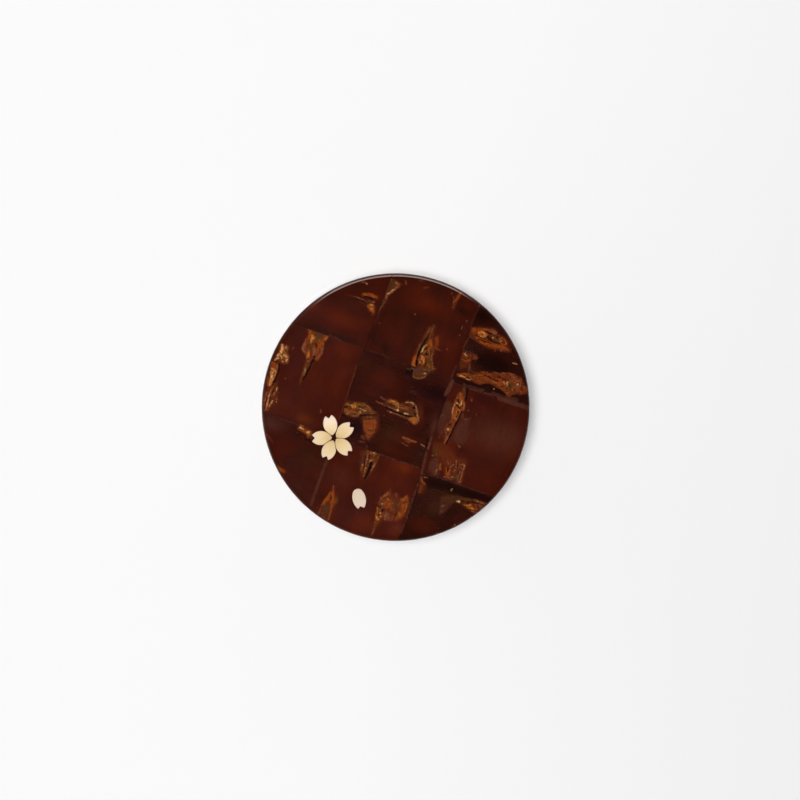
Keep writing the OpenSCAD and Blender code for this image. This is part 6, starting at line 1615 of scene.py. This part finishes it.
def wall_piece(name, node, body, z0, z1, turn, course):
    g = 0.30
    fine = [0, 0.012, 0.03, 0.055, 0.09, 0.2]
    da = 2 * math.pi / 9
    width = da * R - JOINT
    m = int((width - 2 * fine[-1]) / g)
    s = np.concatenate([fine[:-1], np.linspace(fine[-1], width - fine[-1], m), width - np.array(fine[:-1])[::-1]])
    # heights: follow the rounded shoulders closely
    base = section_radius
    mids = np.arange(z0 + fine[-1], z1 - fine[-1] * 0.99, g)
    zz = list(z0 + np.array(fine[:-1])) + list(mids) + list((z1 - np.array(fine[:-1]))[::-1])
    for z_lo, z_hi in ((BARK, SR), (H - SR, H - BARK)):
        if z0 < z_hi and z1 > z_lo:
            zz += [z for z in np.linspace(z_lo, z_hi, 10) if z0 + 0.02 < z < z1 - 0.02]
    zz = np.array(sorted(zz))
    zz = zz[np.concatenate([[True], np.diff(zz) > 0.006])]
    nu, nv = len(s), len(zz)
    vs, fs, base_n = [], [], 0
    acc = {}
    vec_all = []
    for k in range(9):
        a_left = math.radians(40 * k + turn) + (JOINT / 2) / R
        sg, zg = np.meshgrid(s, zz)
        ang = a_left + sg / R
        d = np.minimum(np.minimum(sg, width - sg), np.minimum(zg - z0, z1 - zg))
        along = 0.0 if (k + course) % 2 == 0 else 90.0
        rng = np.random.default_rng(5000 + 100 * course + k)
        along += rng.uniform(-3, 3)
        seed = 200 + 37 * course + 11 * k
        x, y = (sg + k * 31).ravel(), zg.ravel()
        b = Bark(x, y, seed=seed)
        b.plain(along, rng.uniform(-0.08, 0.42), rng.uniform(-0.35, 0.4), seed + 3)
        lo = 29.333 * course
        paint_wall(b, rng, (k * 31, k * 31 + width, lo, lo + 29.3), along)
        b.finish()
        rr = section_radius(zg) - 0.02 + np.clip(b.relief.reshape(sg.shape) + 0.008 * noise(sg / 6 + k * 9, zg / 6, seed), -0.03, 0.018) - edge_drop(d)
        outer = np.stack([rr * np.cos(ang), rr * np.sin(ang), zg], 2).reshape(-1, 3)
        ri = R - BARK
        b0 = np.stack([ri * np.cos(a_left + s / R), ri * np.sin(a_left + s / R), np.full(nu, zz[0])], 1)
        t0 = np.stack([ri * np.cos(a_left + s / R), ri * np.sin(a_left + s / R), np.full(nu, zz[-1])], 1)
        v = np.concatenate([outer, b0, t0])
        f = []
        for q in range(nv - 1):
            for p in range(nu - 1):
                i0 = q * nu + p
                f.append((i0, i0 + 1, i0 + nu + 1, i0 + nu))
        ib, it = nu * nv, nu * nv + nu
        for p in range(nu - 1):
            f.append((ib + p + 1, ib + p, it + p, it + p + 1))
            f.append((p + 1, p, ib + p, ib + p + 1))
            top = (nv - 1) * nu
            f.append((top + p, top + p + 1, it + p + 1, it + p))
        left = [q * nu for q in range(nv)]
        right = [q * nu + nu - 1 for q in range(nv)]
        f.append(tuple([ib] + left + [it]))
        f.append(tuple([it + nu - 1] + right[::-1] + [ib + nu - 1]))
        attrs, vectors = bark_attrs(b, along, 20 + 9 * course + k)
        low = list(range(nu)) + list(range((nv - 1) * nu, nv * nu))
        for key, val in attrs.items():
            acc.setdefault(key, []).append(np.concatenate([val, val[low]]))
        vec_all.append(np.concatenate([vectors["bark"], vectors["bark"][low]]))
        vs.append(v)
        fs += [tuple(q + base_n for q in t) for t in f]
        base_n += len(v)
    return make(name, np.concatenate(vs), fs, M_BARK, body, [node],
                {k: np.concatenate(v) for k, v in acc.items()}, {"bark": np.concatenate(vec_all)}, smooth_angle=50)


wall_piece("lid_wall_tiles_upper", "lid_wall_bark_upper", "lid", 2 * COURSE + JOINT / 2, H - BARK, 0, 2)
wall_piece("lid_wall_tiles_lower", "lid_wall_bark_lower", "lid", LID_Z, 2 * COURSE - JOINT / 2, 20, 1)
wall_piece("body_wall_tiles_upper", "body_wall_bark_upper", "body", COURSE + JOINT / 2, PART, 20, 1)
wall_piece("body_wall_tiles_lower", "body_wall_bark_lower", "body", BARK, COURSE - JOINT / 2, 0, 0)


# ---------------------------------------------------------------- discs and turned pieces

def bark_disc(name, node, body, radius, z0, z1, step, seed, hole=0.0, tone=-0.1, scars=4, round_r=0.06, profile=None, down=False):
    """A round sheet of polished bark, face up or face down."""
    def circle(r, cnt):
        a = np.linspace(0, 2 * math.pi, cnt, endpoint=False)
        return np.stack([r * np.cos(a), r * np.sin(a)], 1)

    loop = circle(radius, 360)
    loops = [loop] + ([circle(hole, 48)] if hole else [])
    pts = grid_points((-radius, -radius), (radius, radius), step, seed)
    r = np.hypot(pts[:, 0], pts[:, 1])
    margin = SR + 0.1 if profile else 0.25
    pts = pts[(r < radius - margin) & (r > hole + 0.15 if hole else r > -1)]
    radii = [radius - q for q in ((1.0, 0.85, 0.7, 0.55, 0.42, 0.31, 0.22, 0.14, 0.08, 0.04, 0.015) if profile else (0.012, 0.03, 0.06, 0.12))]
    pts = np.concatenate([pts] + [circle(q, 360) for q in radii])
    made = {}

    def top(x, y):
        b = Bark(x, y, seed=seed)
        b.plain(15, tone, 0.0, seed + 3)
        rng = np.random.default_rng(seed)
        for k in range(scars):
            a, q = rng.uniform(0, 2 * math.pi), math.sqrt(rng.uniform(0.05, 0.9)) * radius
            c = (q * math.cos(a), q * math.sin(a))
            ang = 15 + rng.uniform(-12, 12)
            scar(b, random_outline(rng, c, rng.uniform(2, 6), rng.uniform(0.7, 2), ang), ang, str(rng.choice(["orange", "olive", "brown"])),
                 0.7, gold=rng.uniform(0.2, 0.6), tan=0.3, olive=0.3, dark=0.4, seed=int(rng.integers(999)))
        b.finish()
        made["b"] = b
        rr = np.hypot(x, y)
        if profile:
            return profile(rr) - 0.02 + np.clip(b.relief, -0.02, 0.018)
        return z1 - 0.015 + np.clip(b.relief, -0.02, 0.014) - edge_drop(radius - rr, round_r)

    def keep(x, y):
        q = np.hypot(x, y)
        return (q < radius) & (q > hole)

    v, f, n = plate(pts, loops, keep, top, lambda x, y: np.full(len(x), z0))
    ring = ring_of(v, n)
    attrs, vectors = bark_attrs(made["b"], 15, seed)
    attrs, vectors = spread(attrs, vectors, ring)
    if down:
        v = v * np.array([1, -1, 1])
        v[:, 2] = z0 + z1 - v[:, 2]
    return make(name, v, f, M_BARK, body, [node], attrs, vectors, smooth_angle=50)


def base_profile(r):
    """Height above the underside's inner face, mirrored: the underside curves up at its edge."""
    q = np.clip(r - (R - SR), 0, SR)
    return np.sqrt(SR * SR - q * q) - (SR - BARK)


bark_disc("base_sheet", "base_bark", "body", 39.77, 0.0, BARK, 0.34, 901, scars=5, tone=-0.15,
          profile=lambda r: np.maximum(base_profile(r), 0.03), down=True)
bark_disc("inner_lid_face", "inner_lid_top_bark", "inner_lid", 36.99, INNER_TOP, INNER_TOP + SKIN, 0.28, 911,
          hole=2.6, scars=7, tone=0.05)


def bark_lathe(name, node, body, profile, seed, n=240, tone=-0.1):
    """A turned skin of polished bark: its pattern runs round the axis."""
    v, f = lathe(profile, n)
    a = np.arctan2(v[:, 1], v[:, 0])
    r = np.hypot(v[:, 0], v[:, 1])
    b = Bark(a * 37, v[:, 2] + (40 - r), seed=seed)
    b.plain(0, tone, 0.0, seed + 3)
    b.finish()
    attrs, vectors = bark_attrs(b, 0, seed)
    return make(name, v, f, M_BARK, body, [node], attrs, vectors, smooth_angle=50)


def turned(name, node, body, profile, material, n=240, angle=50):
    v, f = lathe(profile, n)
    return make(name, v, f, material, body, [node], smooth_angle=angle)


def tube(ro, ri, z0, z1, soft=0.06):
    return rounded([(ri, z0), (ro, z0), (ro, z1), (ri, z1)], soft, 3)


def disc(ro, z0, z1, soft=0.05):
    return rounded([(0, z0), (ro, z0), (ro, z1), (0, z1)], [0, soft, soft, 0], 3)


S_R = R - BARK - 2.0                # outside of the sleeve skin
L_R = S_R + 0.15                    # inside of the lid lining
turned("lid_tube", "lid_core", "lid", tube(39.5, L_R + SKIN, LID_Z, H - BARK), M_TUBE)
turned("lid_lining_skin", "lid_lining", "lid", tube(L_R + SKIN, L_R, LID_Z, H - BARK - 3 - SKIN, 0.05), M_LINING)
turned("lid_ceiling", "lid_ceiling_bark", "lid", disc(L_R + SKIN, H - BARK - 3 - SKIN, H - BARK - 3, 0.02), M_LINING_FLAT)
turned("body_tube", "body_core", "body", tube(39.5, S_R, BARK, PART), M_TUBE)
turned("floor_skin", "floor_bark", "body", disc(35.7, 3.5, 3.8, 0.03), M_LINING_FLAT)
turned("sleeve_tube", "sleeve_core", "body", tube(S_R - SKIN, 36.0, 3.5, SLEEVE_TOP - SKIN, 0.02), M_TUBE)
turned("sleeve_outer_skin", "sleeve_outer_bark", "body", tube(S_R, S_R - SKIN, 3.5, SLEEVE_TOP - SKIN, 0.02), M_SLEEVE)
turned("sleeve_inner_skin", "sleeve_lining", "body", tube(36.0, 35.7, 3.5, SLEEVE_TOP - SKIN, 0.02), M_LINING)
bark_lathe("sleeve_rim", "sleeve_rim_bark", "body",
           rounded([(35.7, SLEEVE_TOP - SKIN), (S_R, SLEEVE_TOP - SKIN), (S_R, SLEEVE_TOP), (35.7, SLEEVE_TOP)], [0.01, 0.01, 0.2, 0.2], 5), 921)
turned("inner_lid_plate", "inner_lid_board", "inner_lid", tube(37.0, 2.5, INNER_Z, INNER_TOP, 0.05), M_BOARD)
turned("plug_ring", "inner_lid_plug_ring", "inner_lid", tube(35.45, 33.95, INNER_Z - 5, INNER_Z, 0.25), M_RING)
turned("inner_lid_underside", "inner_lid_under_bark", "inner_lid", disc(33.95, INNER_Z - SKIN, INNER_Z, 0.03), M_LINING_FLAT)
bark_lathe("inner_lid_edge", "inner_lid_edge_bark", "inner_lid",
           rounded([(37.0, INNER_Z), (37.3, INNER_Z), (37.3, INNER_TOP + SKIN), (37.0, INNER_TOP + SKIN)], [0.02, 0.12, 0.14, 0.02], 4), 923, tone=-0.2)


def knob_profile():
    z0 = INNER_TOP + SKIN
    pts = [(0, INNER_Z), (2.5, INNER_Z), (2.5, z0)]
    for z in np.linspace(0, 6.0, 61):
        out = 5.2
        if abs(z - 4.7) < 1.3:
            out = max(out, 5.2 + math.sqrt(1.69 - (z - 4.7) ** 2))
        if abs(z - 2.25) < 2.6:
            out = min(out, 6.85 - math.sqrt(6.76 - (z - 2.25) ** 2))
        pts.append((out, z0 + z))
    pts.append((0, z0 + 6.0))
    return pts


turned("knob_turned", "knob", "inner_lid", knob_profile(), M_KNOB, n=144, angle=60)
bark_lathe("knob_cap", "knob_cap_bark", "inner_lid",
           rounded([(0, INNER_TOP + 6.3), (4.8, INNER_TOP + 6.3), (4.8, INNER_TOP + 6.6), (0, INNER_TOP + 6.6)], [0, 0.02, 0.14, 0], 5), 925, n=144)

# what the closed and open caddy never shows keeps its CAD mesh
for node, mat in (("lid_top_board", M_BOARD), ("base_board", M_BOARD)):
    ob = frame["nodes"][node]
    ob.data.materials.clear()
    ob.data.materials.append(mat)


# ---------------------------------------------------------------- floor, light and camera

def floor():
    n = 96
    verts = [(0, 0, 0)] + [(2.2 * math.cos(2 * math.pi * k / n), 2.2 * math.sin(2 * math.pi * k / n), 0) for k in range(n)]
    faces = [(0, 1 + k, 1 + (k + 1) % n) for k in range(n)]
    me = bpy.data.meshes.new("floor")
    me.from_pydata(verts, [], faces)
    me.update()
    n_ = Nodes("floor_painted_falloff")
    x, y, _ = n_.split(n_.object_coords())
    # the floor's colour is painted darker towards +X and -Y: a painted falloff of the light, lightest at the left
    across = n_.math("ADD", n_.math("MULTIPLY", x, 1.0), n_.math("MULTIPLY", y, -0.25))
    n_.set(color=n_.ramp(n_.range(across, -0.15, 0.16, kind="LINEAR"), [(0.0, (0.93,) * 3 + (1,)), (0.5, (0.918,) * 3 + (1,)), (1.0, (0.84,) * 3 + (1,))]),
           rough=0.9, spec=0.0)
    me.materials.append(n_.mat)
    ob = bpy.data.objects.new("floor", me)
    bpy.context.scene.collection.objects.link(ob)


floor()


def sun(name, tilt, azimuth, strength, size, color=(1, 1, 1), glossy=False):
    """tilt from straight overhead, azimuth where the light comes from (0 = +X, 90 = +Y)."""
    d = bpy.data.lights.new(name, "SUN")
    d.energy, d.angle, d.color = strength, math.radians(size), color
    ob = bpy.data.objects.new(name, d)
    t, a = math.radians(tilt), math.radians(azimuth)
    src = Vector((math.sin(t) * math.cos(a), math.sin(t) * math.sin(a), math.cos(t)))
    ob.rotation_mode = "QUATERNION"
    ob.rotation_quaternion = src.to_track_quat("Z", "Y")
    bpy.context.scene.collection.objects.link(ob)
    ob.visible_glossy = glossy
    return ob


def softbox(name, azimuth, elevation, dist, width, height, radiance, glossy_only=True, color=(1, 1, 1)):
    """A lit panel that faces the caddy."""
    d = bpy.data.lights.new(name, "AREA")
    d.shape, d.size, d.size_y = "RECTANGLE", width, height
    d.energy = radiance * math.pi * width * height
    d.color = color
    ob = bpy.data.objects.new(name, d)
    a, e = math.radians(azimuth), math.radians(elevation)
    src = Vector((math.cos(e) * math.cos(a), math.cos(e) * math.sin(a), math.sin(e)))
    ob.location = Vector((0, 0, 0.08)) + src * dist
    ob.rotation_mode = "QUATERNION"
    ob.rotation_quaternion = src.to_track_quat("Z", "Y")
    bpy.context.scene.collection.objects.link(ob)
    if glossy_only:
        ob.visible_diffuse = False
    ob.visible_camera = False
    return ob


def world():
    w = bpy.data.worlds.new("studio")
    w.use_nodes = True
    t = w.node_tree
    t.nodes.clear()
    out = t.nodes.new("ShaderNodeOutputWorld")
    bg = t.nodes.new("ShaderNodeBackground")
    tc = t.nodes.new("ShaderNodeTexCoord")
    sep = t.nodes.new("ShaderNodeSeparateXYZ")
    ramp = t.nodes.new("ShaderNodeValToRGB")
    el = ramp.color_ramp.elements
    stops = [(0.0, 0.85), (0.25, 0.60), (0.5, 0.25), (0.8, 0.06), (1.0, 0.03)]
    el[0].position, el[0].color = stops[0][0], (stops[0][1],) * 3 + (1,)
    el[1].position, el[1].color = stops[-1][0], (stops[-1][1],) * 3 + (1,)
    for p, c in stops[1:-1]:
        e = el.new(p)
        e.color = (c, c, c, 1)
    t.links.new(tc.outputs["Generated"], sep.inputs[0])
    t.links.new(sep.outputs[2], ramp.inputs[0])
    side = t.nodes.new("ShaderNodeMapRange")
    side.inputs["From Min"].default_value = -0.9
    side.inputs["From Max"].default_value = 0.9
    side.inputs["To Min"].default_value = 0.85
    side.inputs["To Max"].default_value = 0.25
    t.links.new(sep.outputs[0], side.inputs["Value"])
    t.links.new(side.outputs[0], bg.inputs["Strength"])
    t.links.new(ramp.outputs[0], bg.inputs["Color"])
    t.links.new(bg.outputs[0], out.inputs["Surface"])
    bpy.context.scene.world = w


world()
sun("key", 1.2, 183, 2.945, 4.6)
softbox("back_panel", 90, 30, 1.6, 2.2, 0.55, 1.6)
softbox("high_panel", 91, 52, 1.7, 1.25, 0.54, 8.2, color=(1.0, 0.82, 0.75))
softbox("left_panel", 180, 20, 1.6, 1.2, 0.6, 0.9)
softbox("top_strip", 125, 62, 1.8, 0.5, 0.25, 1.6)

scene = bpy.context.scene
scene.view_settings.view_transform = "Standard"
scene.view_settings.look = "None"
scene.view_settings.exposure = 0
scene.view_settings.gamma = 1

cam_data = bpy.data.cameras.new("camera")
cam_data.sensor_width = 36
cam_data.lens = 376.65
cam = bpy.data.objects.new("camera", cam_data)
cam.location = (0.0013, 0.00213, 2.585)
cam.rotation_euler = (0, 0, 0)
cam_data.clip_start, cam_data.clip_end = 0.1, 20
scene.collection.objects.link(cam)
scene.camera = cam
